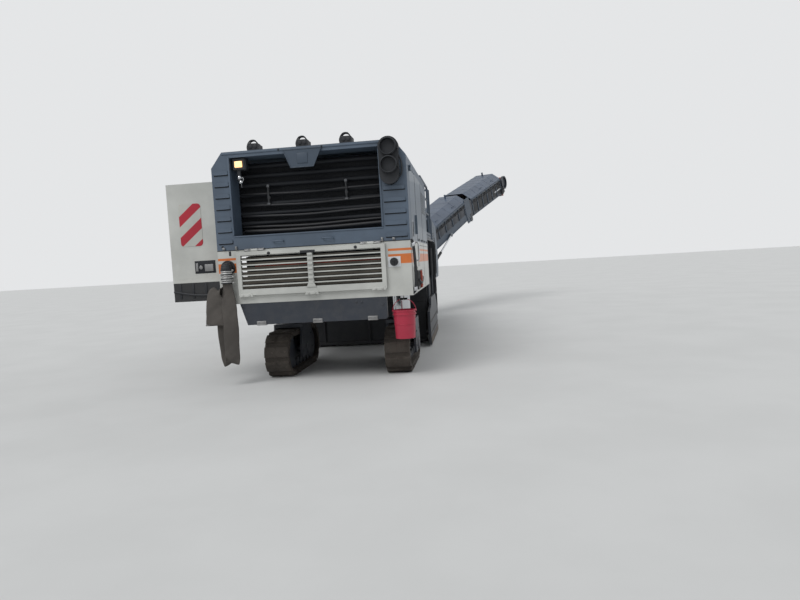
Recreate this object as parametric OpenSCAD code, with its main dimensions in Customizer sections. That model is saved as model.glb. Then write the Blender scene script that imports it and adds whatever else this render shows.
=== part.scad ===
// Cold planer milling machine: four steered tracks on lifting columns, a milling drum
// between them, an open operator's platform and a front discharge conveyor.
// Right is +X, forward travel is +Y and up is +Z. The drum's axis is over Y = 0.

/* [Body] */
// Half the width of the body
half_w = 1250; // [1200:5:1300]
// Rear face, behind the drum's axis
rear = 3900; // [3850:10:4100]
// Height of the hood's roof
roof_z = 3000; // [2900:10:3100]
// Underside of the body
body_z = 1060; // [1040:5:1100]
// Top of the white lower body, where the hood starts
waist_z = 1750; // [1700:10:1800]
// Thickness of panels
panel_t = 35; // [20:1:50]
// Length of the engine section
engine_len = 3200; // [3000:10:3400]
// Depth of the hood's rear portal
portal_d = 300; // [250:10:400]
// Chamfer along the hood's top edges
chamfer = 150; // [80:5:200]

/* [Air intake] */
// Left edge of the intake
intake_left = 1010; // [900:5:1050]
// Right edge of the intake
intake_right = 910; // [850:5:950]
// Lower edge of the intake
intake_z = 1930; // [1880:5:2000]
// Upper edge of the intake
intake_top = 2925; // [2850:5:2940]
// Number of cooler pipes across the intake
pipe_count = 8; // [4:1:12]

/* [Grille door and bumper] */
// Left edge of the grille door
grille_left = 990; // [900:5:1020]
// Right edge of the grille door
grille_right = 930; // [880:5:950]
// Lower edge of the grille door
grille_z = 1165; // [1130:5:1200]
// Upper edge of the grille door
grille_top = 1732; // [1700:2:1740]
// Number of slats in each half of the grille
slat_count = 6; // [4:1:9]
// Lower edge of the bumper
bumper_z = 780; // [760:5:850]

/* [Side doors] */
// Length of a side door
door_len = 770; // [650:5:785]
// Lower edge of the side doors
door_z = 1365; // [1350:5:1400]
// Upper edge of the side doors
door_top = 2690; // [2500:5:2694]
// Rest opening of the left door
left_door_open = 90; // [0:1:90]

/* [Tracks] */
// Length of a track over its shoes
track_len = 1730; // [1600:10:1800]
// Height of a track over its shoes
track_h = 610; // [560:5:640]
// Width of a track's shoes
track_w = 330; // [300:5:350]
// Number of shoes on a track
shoe_count = 20; // [16:1:24]
// Rear track centres behind the drum's axis
rear_axle = 2750; // [2700:10:2850]
// Front track centres ahead of the drum's axis
front_axle = 2650; // [2600:10:2700]
// Left track centres from the body's middle
left_track = 665; // [650:5:700]
// Right track centres from the body's middle
right_track = 965; // [940:5:980]
// Radius of a lifting column
column_r = 124.7; // [110:0.1:130]

/* [Milling drum] */
// Width of the drum over its end tools
drum_w = 2000; // [1900:10:2020]
// Radius of the cutting circle
cut_r = 510; // [480:5:515]
// Height of the tool tips over the ground at rest
tip_z = 30; // [20:1:40]
// Drum centre to the right of the body's middle
drum_x = 120; // [100:5:130]
// Number of tool lines along half of the drum
tool_lines = 16; // [8:1:20]

/* [Conveyors] */
// Outer width of the discharge conveyor
belt_w = 1050; // [950:10:1100]
// Depth of the discharge conveyor's side walls
wall_h = 560; // [450:10:600]
// Slew of the discharge conveyor to the right at rest
slew = 25; // [0:1:30]
// Rise of the lower conveyor section
rise_low = 22; // [15:1:25]
// Rise of the upper conveyor section
rise_up = 18.5; // [12:0.5:22]
// Plan distance from the slewing pin to the fold
fold_reach = 3500; // [3300:10:3600]
// Length of the upper section
upper_len = 3000; // [2800:10:3600]
// Outer width of the inner, primary conveyor
inner_w = 800; // [700:10:820]

/* [Hidden] */
$fn = 48;

charcoal = [0.2, 0.21, 0.24];
hood_grey = [0.33, 0.36, 0.41];
cream = [0.83, 0.81, 0.74];
steel = [0.42, 0.42, 0.43];
dark = [0.09, 0.09, 0.1];
orange = [0.9, 0.35, 0.1];
earth = [0.29, 0.25, 0.2];

rear_y = -rear;
portal_y = rear_y + portal_d;
hood_front_y = rear_y + engine_len;
running = 0.3;
moving = 5;

// Frame rails, on both sides of the primary conveyor
rail_z = [1130, 1480];
rail_left_x = [-420, -300];
rail_right_x = [600, 720];
nose_y = 3850;
beam_d = 110;
beam_z = [rail_z[0], rail_z[0] + 110];
rear_beam_y = rear_y + 140;
front_beam_y = 3300;

// Lashing eyes under the rear and front beams
eye_r = 32.5;
eye_t = 40;
eye_z = 1010;

// Drum
drum_z = tip_z + cut_r;
housing_y = 620;
housing_t = 30;
housing_x = [drum_x - drum_w / 2 - 80, drum_x + drum_w / 2 + 70];
shaft_r = 90;
tool_len = 95;
barrel_r = cut_r - tool_len - 20;
plate_x = [half_w - 30, half_w + 10];
plate_half_len = 1120;
rod_x = half_w - 35;
rod_y = [-560, 560];
rod_top = 1290;

// Tracks
pad_t = 26;
chain_t = 48;
end_r = track_h / 2;
band_r = end_r - pad_t;
inner_r = band_r - chain_t;
half_run = track_len / 2 - end_r;
guide_r = column_r + running;
guide_wall = 26;
guide_z = [1175, 2060];
column_z = [800, 1700];
journal_r = 80;
cheek_gap = 14;
cheek_t = 32;
axle_r = 55;

// Discharge conveyor, in the frame of its slewing pin: y runs along it
slew_x = 150;
slew_y = nose_y + 400;
pin_r = 60;
tail_z = 1240;
tail_r = belt_w / 2 - 6;
tail_h = 380;
hinge_y = 250;
hinge_drop = 62;
skin = 18;
hinge_z = tail_z + hinge_y * tan(rise_low) - hinge_drop;
under_v = hinge_drop * cos(rise_low);
low_start = -hinge_y / cos(rise_low) + hinge_drop * sin(rise_low);
low_end = (fold_reach - hinge_y) / cos(rise_low);
fold_drop = 70;
fold_y = hinge_y + low_end * cos(rise_low) - (under_v - fold_drop) * sin(rise_low);
fold_z = hinge_z + low_end * sin(rise_low) + (under_v - fold_drop) * cos(rise_low);
belt_v = 230;
belt_t = 30;
head_r = 150;
head_axle_y = upper_len - 260;
cover_h = 210;
cover_t = 12;
cheek_x = [belt_w / 2 + 87, belt_w / 2 + 115];
cylinder_x = belt_w / 2 + 45;
foot = [hinge_y + 120, 990];
rod_pin = [2000, tail_z + 2000 * tan(rise_low) + 60];
cylinder_len = norm(rod_pin - foot);
cylinder_tilt = atan2(rod_pin[1] - foot[1], rod_pin[0] - foot[0]);
arm_z = [925, 1055];
lug_z = [[860, 920], [1060, 1120]];

// Primary conveyor
inner_x = 150;
inner_start = [800, 430];
inner_end = [slew_y - 70, 2285];
inner_h = 440;
inner_rise = atan2(inner_end[1] - inner_start[1], inner_end[0] - inner_start[0]);
inner_len = norm(inner_end - inner_start);

// Platform and front body
floor_z = 1890;
platform_y = [hood_front_y, 1700];
skirt_x = half_w - 100;
front_y = [platform_y[1], nose_y - 150];
front_w = half_w - 75;

// Rear fittings
hose_x = -1120;
bucket_at = [1115, rear_y + 76];
bail_r = 147;
bail_z = 1013;

// Side door hinge line, just outside the body
door_axis = [half_w + 16, portal_y + 10];

// Ground footprint, which sets the origin under the middle of the whole machine
left_reach = -(door_axis[0] + door_len + 5);
head_y = fold_y + upper_len * cos(rise_up);
right_reach = slew_x + head_y * sin(slew) + belt_w / 2 * cos(slew);
front_reach = slew_y + head_y * cos(slew) + belt_w / 2 * sin(slew);
rear_reach = rear_y - 150;
origin = [(left_reach + right_reach) / 2, (rear_reach + front_reach) / 2, 0];

module place() {
    translate(-origin) children();
}

module box(x, y, z) {
    translate([x[0], y[0], z[0]]) cube([x[1] - x[0], y[1] - y[0], z[1] - z[0]]);
}

module bar_x(x, y, z, r) {
    translate([x[0], y, z]) rotate([0, 90, 0]) cylinder(h = x[1] - x[0], r = r);
}

module bar_y(x, y, z, r) {
    translate([x, y[1], z]) rotate([90, 0, 0]) cylinder(h = y[1] - y[0], r = r);
}

module bar_z(x, y, z, r) {
    translate([x, y, z[0]]) cylinder(h = z[1] - z[0], r = r);
}

// Outline in Y and Z, extruded across the machine
module across(x) {
    translate([x[0], 0, 0]) rotate([90, 0, 90]) linear_extrude(x[1] - x[0]) children();
}

// Outline in X and Z, extruded along the machine
module lengthways(y) {
    translate([0, y[1], 0]) rotate([90, 0, 0]) linear_extrude(y[1] - y[0]) children();
}

module both_sides() {
    children();
    mirror([1, 0, 0]) children();
}

// Main frame

module guide_tube(x, y, rail_x) {
    difference() {
        union() {
            bar_z(x, y, guide_z, guide_r + guide_wall);
            box([min(x, rail_x), max(x, rail_x)], [y - 75, y + 75], [guide_z[0], rail_z[1]]);
        }
        bar_z(x, y, [guide_z[0] - 1, guide_z[1] + 1], guide_r);
    }
}

module main_frame() place() color(charcoal) {
    // beams: y, distance they reach from the middle, whether they also join the rails
    panel_in = half_w - panel_t;
    beams = [[rear_beam_y, panel_in, true], [-1950, panel_in, true], [-740, panel_in, true],
        [1250, skirt_x - panel_t, false], [front_beam_y, front_w, false]];
    for (x = [rail_left_x, rail_right_x]) box(x, [rear_y + panel_t, nose_y], rail_z);
    for (b = beams) {
        box([-b[1], rail_left_x[1]], [b[0], b[0] + beam_d], beam_z);
        box([rail_right_x[0], b[1]], [b[0], b[0] + beam_d], beam_z);
        if (b[2]) box([rail_left_x[0], rail_right_x[1]], [b[0], b[0] + beam_d], beam_z);
    }
    guide_tube(-left_track, -rear_axle, rail_left_x[0]);
    guide_tube(right_track, -rear_axle, rail_right_x[1]);
    guide_tube(-left_track, front_axle, rail_left_x[0]);
    guide_tube(right_track, front_axle, rail_right_x[1]);
}

module lashing_eyes() place() color(charcoal) {
    // x and the beam they hang from
    eyes = [[-220, rear_beam_y], [520, rear_beam_y], [-400, front_beam_y], [660, front_beam_y]];
    for (e = eyes) difference() {
        box([e[0] - eye_t / 2, e[0] + eye_t / 2], [e[1], e[1] + beam_d], [eye_z - 65, beam_z[0]]);
        bar_x([e[0] - eye_t, e[0] + eye_t], e[1] + beam_d / 2, eye_z, eye_r);
    }
}

// Block under the rails' front ends, with the lugs that the discharge conveyor slews on
module conveyor_mount() place() color(charcoal) difference() {
    union() {
        box([rail_left_x[0], rail_right_x[1]], [nose_y - 290, nose_y], [lug_z[0][0], lug_z[1][1]]);
        for (x = [rail_left_x, rail_right_x]) box(x, [nose_y - 290, nose_y], [lug_z[0][0], rail_z[0]]);
        box([inner_x - inner_w / 2, inner_x + inner_w / 2], [nose_y - 290, nose_y - 230], [lug_z[0][0], 1800]);
        for (z = lug_z) {
            box([slew_x - 130, slew_x + 130], [nose_y - 50, slew_y], z);
            bar_z(slew_x, slew_y, z, 130);
        }
    }
    bar_z(slew_x, slew_y, [lug_z[0][0] - 1, lug_z[1][1] + 1], pin_r + running);
    // the saddle's top follows the inner conveyor's underside
    inner_frame() box([-inner_w, inner_w], [0, inner_len], [-inner_h / 2, inner_w]);
}

// Track units: lifting column, steered yoke with its rollers, and the track

module column(x, y) place() color(steel) {
    bar_z(x, y, column_z, column_r);
    bar_z(x, y, [column_z[0] - 110, column_z[0]], journal_r);
}

module yoke(x, y) place() color(charcoal) translate([x, y, 0]) {
    cheek_x = track_w / 2 + cheek_gap;
    top_z = track_h + 18;
    hub_z = column_z[0] - running;
    roller_r = 60;
    wheel_r = inner_r - running;
    difference() {
        bar_z(0, 0, [top_z, hub_z], journal_r + 62);
        bar_z(0, 0, [top_z + 50, hub_z + 1], journal_r + running);
    }
    box([-cheek_x - cheek_t, cheek_x + cheek_t], [-230, 230], [top_z, top_z + 50]);
    both_sides() across([cheek_x, cheek_x + cheek_t])
        polygon([[-300, 210], [300, 210], [330, 330], [230, top_z], [-230, top_z], [-330, 330]]);
    bar_x([-cheek_x - 1, cheek_x + 1], 0, end_r, axle_r);
    box([-70, 70], [-half_run, half_run], [end_r - 135, end_r + 150]);
    for (side = [-1, 1]) bar_x([-105, 105], side * half_run, end_r, wheel_r);
    for (i = [-2:2])
        bar_x([-95, 95], i * half_run * 0.32, end_r - inner_r + running + roller_r, roller_r);
    for (side = [-1, 1]) bar_x([-80, 80], side * 280, end_r + inner_r - running - 45, 45);
}

// A place on the oval of a track: along it, and the angle at which a shoe sits
function on_oval(s, r) =
    let (run = 2 * half_run, arc = PI * r, p = s % (2 * run + 2 * arc))
    p < run ? [-half_run + p, -r, 0]
    : p < run + arc ? let (t = (p - run) / r * 180 / PI) [half_run + r * sin(t), -r * cos(t), t]
    : p < 2 * run + arc ? [half_run - (p - run - arc), r, 180]
    : let (t = (p - 2 * run - arc) / r * 180 / PI) [-half_run - r * sin(t), r * cos(t), 180 + t];

module oval(r) {
    square([2 * half_run, 2 * r], center = true);
    for (side = [-1, 1]) translate([side * half_run, 0]) circle(r = r);
}

module track(x, y) place() color(earth) translate([x, y, end_r]) {
    pitch = (4 * half_run + 2 * PI * band_r) / shoe_count;
    pad_len = pitch * 0.72;
    across([-track_w / 2, track_w / 2]) difference() {
        union() {
            oval(band_r);
            intersection() {
                oval(end_r);
                for (i = [0:shoe_count - 1]) {
                    at = on_oval((i + 0.5) * pitch, band_r);
                    translate([at[0], at[1]]) rotate(at[2])
                        translate([-pad_len / 2, -pad_t - 10]) square([pad_len, pad_t + 24]);
                }
            }
        }
        oval(inner_r);
    }
}

// Milling unit

module drum_housing() place() color(charcoal) {
    z = [150, rail_z[0]];
    x = housing_x;
    y = housing_y;
    difference() {
        box(x, [-y, y], z);
        box([x[0] + housing_t, x[1] - housing_t], [-y + housing_t, y - housing_t], [z[0] - 1, z[1] - housing_t]);
        box([inner_x - inner_w / 2 - 10, inner_x + inner_w / 2 + 10], [y - housing_t - 1, y + 1], [z[0] - 1, 960]);
        box([x[0] + housing_t, x[1] - housing_t], [-y - 1, -y + housing_t + 1], [z[0] - 1, 620]);
        bar_x([x[0] - 1, x[1] + 1], 0, drum_z, shaft_r + running);
    }
}

module milling_drum() place() color(earth) {
    half = drum_w / 2;
    shaft_x = [housing_x[0], housing_x[1]];
    step = (half - 60) / tool_lines;
    translate([drum_x, 0, drum_z]) {
        bar_x([-half, half], 0, 0, barrel_r);
        for (side = [-1, 1], i = [0:tool_lines - 1], start = [0, 120, 240])
            rotate([start + side * i * 22, 0, 0]) translate([side * (half - 30 - i * step), 0, 0]) {
                translate([-22, -35, barrel_r - 20]) cube([44, 70, 60]);
                translate([0, 0, barrel_r + 30]) cylinder(h = cut_r - barrel_r - 30, r1 = 22, r2 = 9, $fn = 24);
            }
    }
    bar_x(shaft_x, 0, drum_z, shaft_r);
}

module scraper_blade() place() color(steel) {
    x = [housing_x[0] + housing_t + moving, housing_x[1] - housing_t - moving];
    y = -housing_y - running;
    box(x, [y - 25, y], [40, 740]);
    box(x, [y - 55, y - 25], [40, 90]);
    for (px = [-700, drum_x, 940]) box([px - 20, px + 20], [y - 60, y - 24], [90, 740]);
}

module side_plate(side) {
    x = plate_x;
    across(x) polygon([[-plate_half_len, 70], [-plate_half_len + 110, 20], [plate_half_len - 110, 20],
        [plate_half_len, 70], [plate_half_len, 600], [690, 800], [-650, 800], [-685, 680],
        [-plate_half_len, 600]]);
    // runners towards the housing, and the two cylinder rods on top
    for (y = [-400, 400]) box([abs_wall(side) + running, x[0] + 1], [y - 40, y + 40], [400, 780]);
    for (y = rod_y) {
        bar_z(rod_x, y, [799, rod_top], 22);
        box([rod_x - 20, x[1]], [y - 40, y + 40], [750, 804]);
    }
}

// How far the housing's wall is from the middle on each side
function abs_wall(side) = side > 0 ? housing_x[1] : 1190;

module side_plate_left() place() color(charcoal) mirror([1, 0, 0]) side_plate(-1);

module side_plate_right() place() color(charcoal) side_plate(1);

module plate_cylinders() place() color(steel) {
    both_sides() for (y = rod_y) difference() {
        union() {
            bar_z(rod_x, y, [1180, 1700], 34);
            box([skirt_x, rod_x], [y - 30, y + 30], [1600, 1690]);
        }
        bar_z(rod_x, y, [1179, 1670], 22 + running);
    }
}

module drum_drive_cover() place() color(charcoal) {
    x = [-plate_x[0] + 30, housing_x[0]];
    across(x) difference() {
        polygon([[-520, 560], [-380, 240], [-120, 150], [380, 150], [520, 300], [560, 700],
            [480, rail_z[0]], [-480, rail_z[0]]]);
        translate([0, drum_z]) circle(r = shaft_r + 15);
    }
}

// Primary conveyor, from the drum housing up through the front

module inner_frame() {
    translate([inner_x, inner_start[0], inner_start[1]]) rotate([inner_rise, 0, 0]) children();
}

module primary_conveyor() place() color(charcoal) {
    w = inner_w / 2;
    h = inner_h / 2;
    inner_frame() {
        difference() {
            box([-w, w], [0, inner_len], [-h, h]);
            box([-w + skin, w - skin], [-1, inner_len + 1], [-h + skin, h - skin]);
        }
        for (x = [[-w + skin, -w + 60], [w - 60, w - skin]])
            box(x, [170, inner_len - 150], [-25, -5 - running]);
    }
    // carriers that hang it from the frame's rails
    box([rail_left_x[1], inner_x - w], [1080, 1140], [700, 1180]);
    box([inner_x + w, rail_right_x[0]], [1080, 1140], [700, 1180]);
}

module primary_belt() place() color(dark) inner_frame() {
    w = inner_w / 2 - skin - 25;
    box([-w, w], [30, inner_len + 20], [-5, 20]);
    for (y = [60, inner_len - 40]) bar_x([-w - 25 + running, w + 25 - running], y, -70, 88);
}

// Lower body, hood and engine

// Bracket and pin at one end of a side door's hinge line
module door_bracket(z, pin_end) {
    box([half_w - 5, door_axis[0] + 14], [door_axis[1] - 32, door_axis[1] + 14], z);
    bar_z(door_axis[0], door_axis[1], [min(z[0], pin_end), max(z[1], pin_end)], 9);
}

module lower_body() place() color(cream) {
    grille_in = 45;
    difference() {
        union() {
            box([-half_w, half_w], [rear_y, rear_y + panel_t], [body_z, waist_z]);
            both_sides() across([half_w - panel_t, half_w])
                polygon([[rear_y, body_z], [portal_y + 795, body_z], [portal_y + 795, door_z - 10],
                    [portal_y, door_z - 10], [portal_y, waist_z], [rear_y, waist_z]]);
            // hinge pins of the grille door and filler cap
            for (x = [-750, 750]) {
                bar_x([x - 60, x + 60], rear_y - 30, waist_z - 10, 8);
                for (e = [x - 60, x + 48]) box([e, e + 12], [rear_y - 36, rear_y + 1], [waist_z - 16, waist_z]);
            }
            bar_y(1035, [rear_y - 25, rear_y + 1], 1490, 34);
            // hook that the bucket hangs from
            box([bucket_at[0] - 8, half_w - 1], [rear_y + 92, rear_y + 100], [body_z, body_z + 30]);
            box([bucket_at[0] - 8, bucket_at[0] + 8], [rear_y + 92, rear_y + 100], [bail_z - 18, body_z + 1]);
            bar_y(bucket_at[0], [rear_y + 60, rear_y + 93], bail_z - 6 - running, 6);
            both_sides() door_bracket([door_z - 20, door_z - 5], door_z + 45);
        }
        box([-grille_left + grille_in, grille_right - grille_in], [rear_y - 1, rear_y + panel_t + 1],
            [grille_z + grille_in, grille_top - grille_in - 20]);
    }
}

module rear_bumper() place() color(charcoal) {
    lengthways([rear_y, rear_y + 60])
        polygon([[-1000, body_z], [910, body_z], [910, bumper_z + 20], [890, bumper_z], [-915, bumper_z]]);
    box([rail_left_x[0], rail_right_x[1]], [rear_y + 59, rear_y + 140], [body_z - 60, rail_z[0]]);
}

module side_panels() place() color(cream) {
    both_sides() box([half_w - panel_t, half_w], [portal_y + 805, hood_front_y], [body_z, door_top + 10]);
    box([-half_w + 1, half_w - 1], [hood_front_y - panel_t, hood_front_y], [rail_z[1], door_top + 10]);
}

module hood_section() {
    polygon([[-half_w, waist_z], [half_w, waist_z], [half_w, roof_z - chamfer * 1.3],
        [half_w - chamfer, roof_z], [-half_w + chamfer, roof_z], [-half_w, roof_z - chamfer * 1.3]]);
}

module engine_hood() place() color(hood_grey) {
    rib_h = 145;
    lip_z = door_top + 10;
    difference() {
        lengthways([rear_y, hood_front_y]) hood_section();
        box([-intake_left, intake_right], [rear_y - 1, portal_y + 1], [intake_z, intake_top]);
        box([-half_w - 1, half_w + 1], [portal_y, hood_front_y + 1], [waist_z - 1, lip_z]);
        box([-half_w + 40, half_w - 40], [portal_y, hood_front_y - panel_t], [lip_z - 1, roof_z - chamfer * 1.4]);
        box([-half_w + chamfer + 20, half_w - chamfer - 20], [portal_y, hood_front_y - panel_t],
            [lip_z - 1, roof_z - panel_t]);
    }
    // stepped ribs on the rear columns: left x, right x, how many, top of the first
    rib_rows = [[-half_w + 35, -intake_left - 25, 7, 2760], [intake_right + 45, half_w - 35, 5, 2430]];
    for (row = rib_rows, i = [0:row[2] - 1])
        box([row[0], row[1]], [rear_y - 14, rear_y + 1], [row[3] - i * rib_h - 40, row[3] - i * rib_h]);
    both_sides() door_bracket([door_top + 5, door_top + 20], door_top - 45);
}

module intake_cooler() place() color(dark) {
    y = portal_y;
    x = [-intake_left - 60, intake_right + 60];
    z = [waist_z + 10, intake_top - 25];
    step = (z[1] - intake_z - 100) / (pipe_count - 1);
    box(x, [y + 120, y + 320], z);
    for (i = [0:pipe_count - 1]) bar_x([x[0] + 5, x[1] - 5], y + 50, intake_z + 50 + i * step, 28);
    for (px = [x[0], x[1] - 40]) box([px, px + 40], [y, y + 121], z);
    for (px = [-610, 430]) bar_z(px, y + 8, [2350, 2560], 14);
    for (px = [-610, 430]) box([px - 10, px + 10], [y + 8, y + 60], [2380, 2400]);
}

module engine_block() place() color(steel) {
    box([rail_left_x[0], rail_right_x[1]], [-2950, -1350], [rail_z[1], 2300]);
}

module exhaust_housing() place() color(dark) {
    x = 1045;
    y = rear_y - 95;
    tubes = [2895, 2675];
    lengthways([y, rear_y]) union() {
        translate([x, tubes[0]]) circle(r = 128);
        translate([x, tubes[1] - 115]) circle(r = 118);
        translate([x - 122, tubes[1] - 110]) square([244, tubes[0] - tubes[1] + 110]);
    }
    for (z = tubes) difference() {
        bar_y(x, [y - 60, y + 1], z, 104);
        bar_y(x, [y - 61, y - 5], z, 92);
    }
}

module badge_plate() place() color(hood_grey) {
    lengthways([rear_y - 22, rear_y])
        polygon([[-290, intake_top + 40], [200, intake_top + 40], [90, 2740], [-200, 2740]]);
}

module roof_lights() place() color(dark) {
    for (x = [-690, -50, 510]) {
        box([x - 75, x + 75], [rear_y + 30, rear_y + 190], [roof_z, roof_z + 75]);
        difference() {
            lengthways([rear_y + 60, rear_y + 76]) translate([x, roof_z + 70]) circle(r = 62);
            lengthways([rear_y + 59, rear_y + 77]) translate([x, roof_z + 70]) circle(r = 48);
            box([x - 90, x + 90], [rear_y + 50, rear_y + 80], [roof_z, roof_z + 60]);
        }
    }
}

module work_lamp() place() color([0.9, 0.8, 0.55]) {
    box([-970, -815], [rear_y + 30, rear_y + 130], [intake_top - 150, intake_top - 12]);
    box([-915, -870], [rear_y + 60, rear_y + 100], [intake_top - 13, intake_top]);
    box([-925, -885], [rear_y + 50, rear_y + 80], [intake_top - 290, intake_top - 149]);
}

module grille_door() place() color(cream) {
    y = [rear_y - 45, rear_y - moving];
    post = 70;
    border = 55;
    mid = (grille_right - grille_left) / 2;
    slat_gap = (grille_top - grille_z - 2 * border) / (slat_count + 1);
    difference() {
        union() {
            difference() {
                box([-grille_left, grille_right], y, [grille_z, grille_top - moving]);
                for (x = [[-grille_left + border, mid - post / 2], [mid + post / 2, grille_right - border]])
                    box(x, [y[0] - 1, y[1] + 1], [grille_z + border + 25, grille_top - border]);
            }
            for (i = [1:slat_count])
                box([-grille_left + border - 1, grille_right - border + 1], [y[0] + 8, y[1] - 8],
                    [grille_z + border + i * slat_gap - 2, grille_z + border + i * slat_gap + 14]);
            for (x = [-750, 750]) bar_x([x - 40, x + 40], rear_y - 30, waist_z - 10, 17);
            for (x = [-750, 750]) box([x - 40, x + 40], [y[0] + 4, y[1] - 12], [grille_top - 10, waist_z - 12]);
        }
        for (x = [-750, 750]) bar_x([x - 46, x + 46], rear_y - 30, waist_z - 10, 8 + running);
    }
}

// Side doors, drawn closed on the right and turned about their hinge line

module door_leaf() {
    x = door_axis[0];
    y = [door_axis[1] + 5, door_axis[1] + 5 + door_len];
    difference() {
        union() {
            box([half_w - panel_t, half_w], y, [door_z, door_top]);
            for (z = [[door_top - 48, door_top], [door_z, door_z + 48]]) {
                bar_z(x, door_axis[1], z, 13);
                box([half_w - 4, x + 8], [door_axis[1] + 2, door_axis[1] + 50], z);
            }
        }
        bar_z(x, door_axis[1], [door_z - 1, door_top + 1], 9 + running);
    }
}

module door_skirt() {
    y = [door_axis[1] + 40, door_axis[1] + door_len - 20];
    box([half_w + 6, half_w + 46], y, [door_z - 255, door_z + 10]);
    box([half_w, half_w + 46], y, [door_z + 5, door_z + 40]);
}

module turned_left(angle) {
    translate([-door_axis[0], door_axis[1], 0]) rotate(angle)
        translate([door_axis[0], -door_axis[1], 0]) mirror([1, 0, 0]) children();
}

module left_door() place() turned_left(left_door_open) {
    color(cream) door_leaf();
    color(dark) door_skirt();
}

module right_door() place() {
    color(cream) door_leaf();
    color(dark) door_skirt();
    color(dark) box([half_w, half_w + 30], [door_axis[1] + 560, door_axis[1] + 600], [1850, 2110]);
}

// Operator's platform

module platform() place() color(charcoal) {
    y = platform_y;
    box([-half_w + 40, half_w - 40], y, [floor_z - 40, floor_z]);
    both_sides() box([skirt_x - panel_t, skirt_x], y, [beam_z[1], floor_z - 39]);
    for (b = [y[0], y[1] - panel_t]) both_sides()
        box([rail_right_x[1], skirt_x - 1], [b, b + panel_t], [beam_z[1], floor_z - 39]);
    for (x = [rail_left_x, rail_right_x], b = [-300, 900])
        box(x, [b, b + 80], [rail_z[1], floor_z - 39]);
}

module guard_rails() place() color(charcoal) {
    x = half_w - 75;
    y = [platform_y[0] + 60, 1130];
    top = 2950;
    // rail heights
    levels = [floor_z + 500, top];
    both_sides() {
        for (py = [y[0], (y[0] + y[1]) / 2, y[1]]) bar_z(x, py, [floor_z, top], 21);
        for (z = levels) bar_y(x, y, z, 21);
    }
    for (z = levels) bar_x([-x, x], 1660, z, 21);
    for (px = [-x, -x / 3, x / 3, x]) bar_z(px, 1660, [floor_z, top], 21);
}

module consoles() place() color(dark) {
    for (side = [-1, 1]) translate([side * 760, 1330, 0]) {
        box([-60, 60], [-60, 60], [floor_z, floor_z + 760]);
        across([-330, 330]) polygon([[-170, floor_z + 740], [190, floor_z + 740], [190, floor_z + 1010],
            [90, floor_z + 1060], [-170, floor_z + 850]]);
    }
}

module operator_seats() place() color(dark) {
    for (side = [-1, 1]) translate([side * 800, 420, 0]) {
        bar_z(0, 0, [floor_z, floor_z + 420], 60);
        box([-240, 240], [-230, 250], [floor_z + 420, floor_z + 540]);
        across([-220, 220]) polygon([[-250, floor_z + 480], [-150, floor_z + 480], [-200, floor_z + 1060],
            [-290, floor_z + 1060]]);
    }
}

module ladders() place() color(steel) {
    y = [1190, 1640];
    both_sides() {
        for (py = [y[0], y[1] - 30]) box([skirt_x, half_w], [py, py + 30], [470, floor_z - 41]);
        for (i = [0:4]) box([skirt_x, half_w], y, [480 + i * 290, 505 + i * 290]);
    }
}

module front_body() place() color(cream) {
    // side outline from the platform to the slanted nose
    outline = [[front_y[0] + 1, body_z], [front_y[1] - 200, body_z], [front_y[1], 1300],
        [front_y[1], 1640], [front_y[1] - 420, 2240], [front_y[0] + 1, 2330]];
    inside = [[front_y[0], body_z - 1], [front_y[1] - 215, body_z - 1], [front_y[1] - panel_t, 1310],
        [front_y[1] - panel_t, 1630], [front_y[1] - 440, 2205], [front_y[0], 2295]];
    gap = inner_w / 2 + 20;
    difference() {
        across([-front_w - panel_t, front_w + panel_t]) polygon(outline);
        across([-front_w, front_w]) polygon(inside);
        box([inner_x - gap, inner_x + gap], [3200, front_y[1] + 1], [beam_z[1], 2400]);
        box([rail_left_x[0] - 5, rail_right_x[1] + 5], [3300, front_y[1] + 1], [body_z - 2, rail_z[1] + 5]);
    }
    // shelves that rest on the frame's rails
    for (b = [2050, 3050]) {
        box([rail_right_x[0], front_w + 1], [b, b + 60], [rail_z[1], rail_z[1] + 60]);
        box([-front_w - 1, rail_left_x[1]], [b, b + 60], [rail_z[1], rail_z[1] + 60]);
    }
}

// Discharge conveyor

module slewed() {
    translate([slew_x, slew_y, 0]) rotate(-slew) children();
}

module low_frame() {
    slewed() translate([0, hinge_y, hinge_z]) rotate([rise_low, 0, 0]) children();
}

module up_frame() {
    slewed() translate([0, fold_y, fold_z]) rotate([rise_up, 0, 0]) children();
}

module slew_bracket() place() color(charcoal) slewed() {
    bar_z(0, 0, [lug_z[0][0] - 15, lug_z[1][1] + 10], pin_r);
    bar_z(0, 0, [lug_z[0][1] + moving, lug_z[1][0] - moving], 120);
    y = [hinge_y - 60, hinge_y + 60];
    box([-95, 95], [0, hinge_y], arm_z);
    box([-cheek_x[1], cheek_x[1]], y, arm_z);
    both_sides() {
        difference() {
            across(cheek_x) polygon([[y[0], arm_z[0]], [y[1] + 130, arm_z[0]], [y[1] + 130, 1030],
                [y[1] + 10, hinge_z + 60], [y[0], hinge_z + 60]]);
            bar_x([cheek_x[0] - 1, cheek_x[1] + 1], hinge_y, hinge_z, 40 + running);
        }
        bar_x([cylinder_x - 42, cheek_x[0] + 1], foot[0], foot[1], 25);
    }
}

module trough(w, len, h, v) {
    both_sides() box([w - skin, w], [0, len], [v, v + h]);
    box([-w, w], [0, len], [v, v + skin]);
    for (u = [250:700:len - 200])
        box([-w + 1, w - 1], [u, u + 60], [v + belt_v - belt_t - 30, v + belt_v - belt_t - running]);
}

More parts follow.
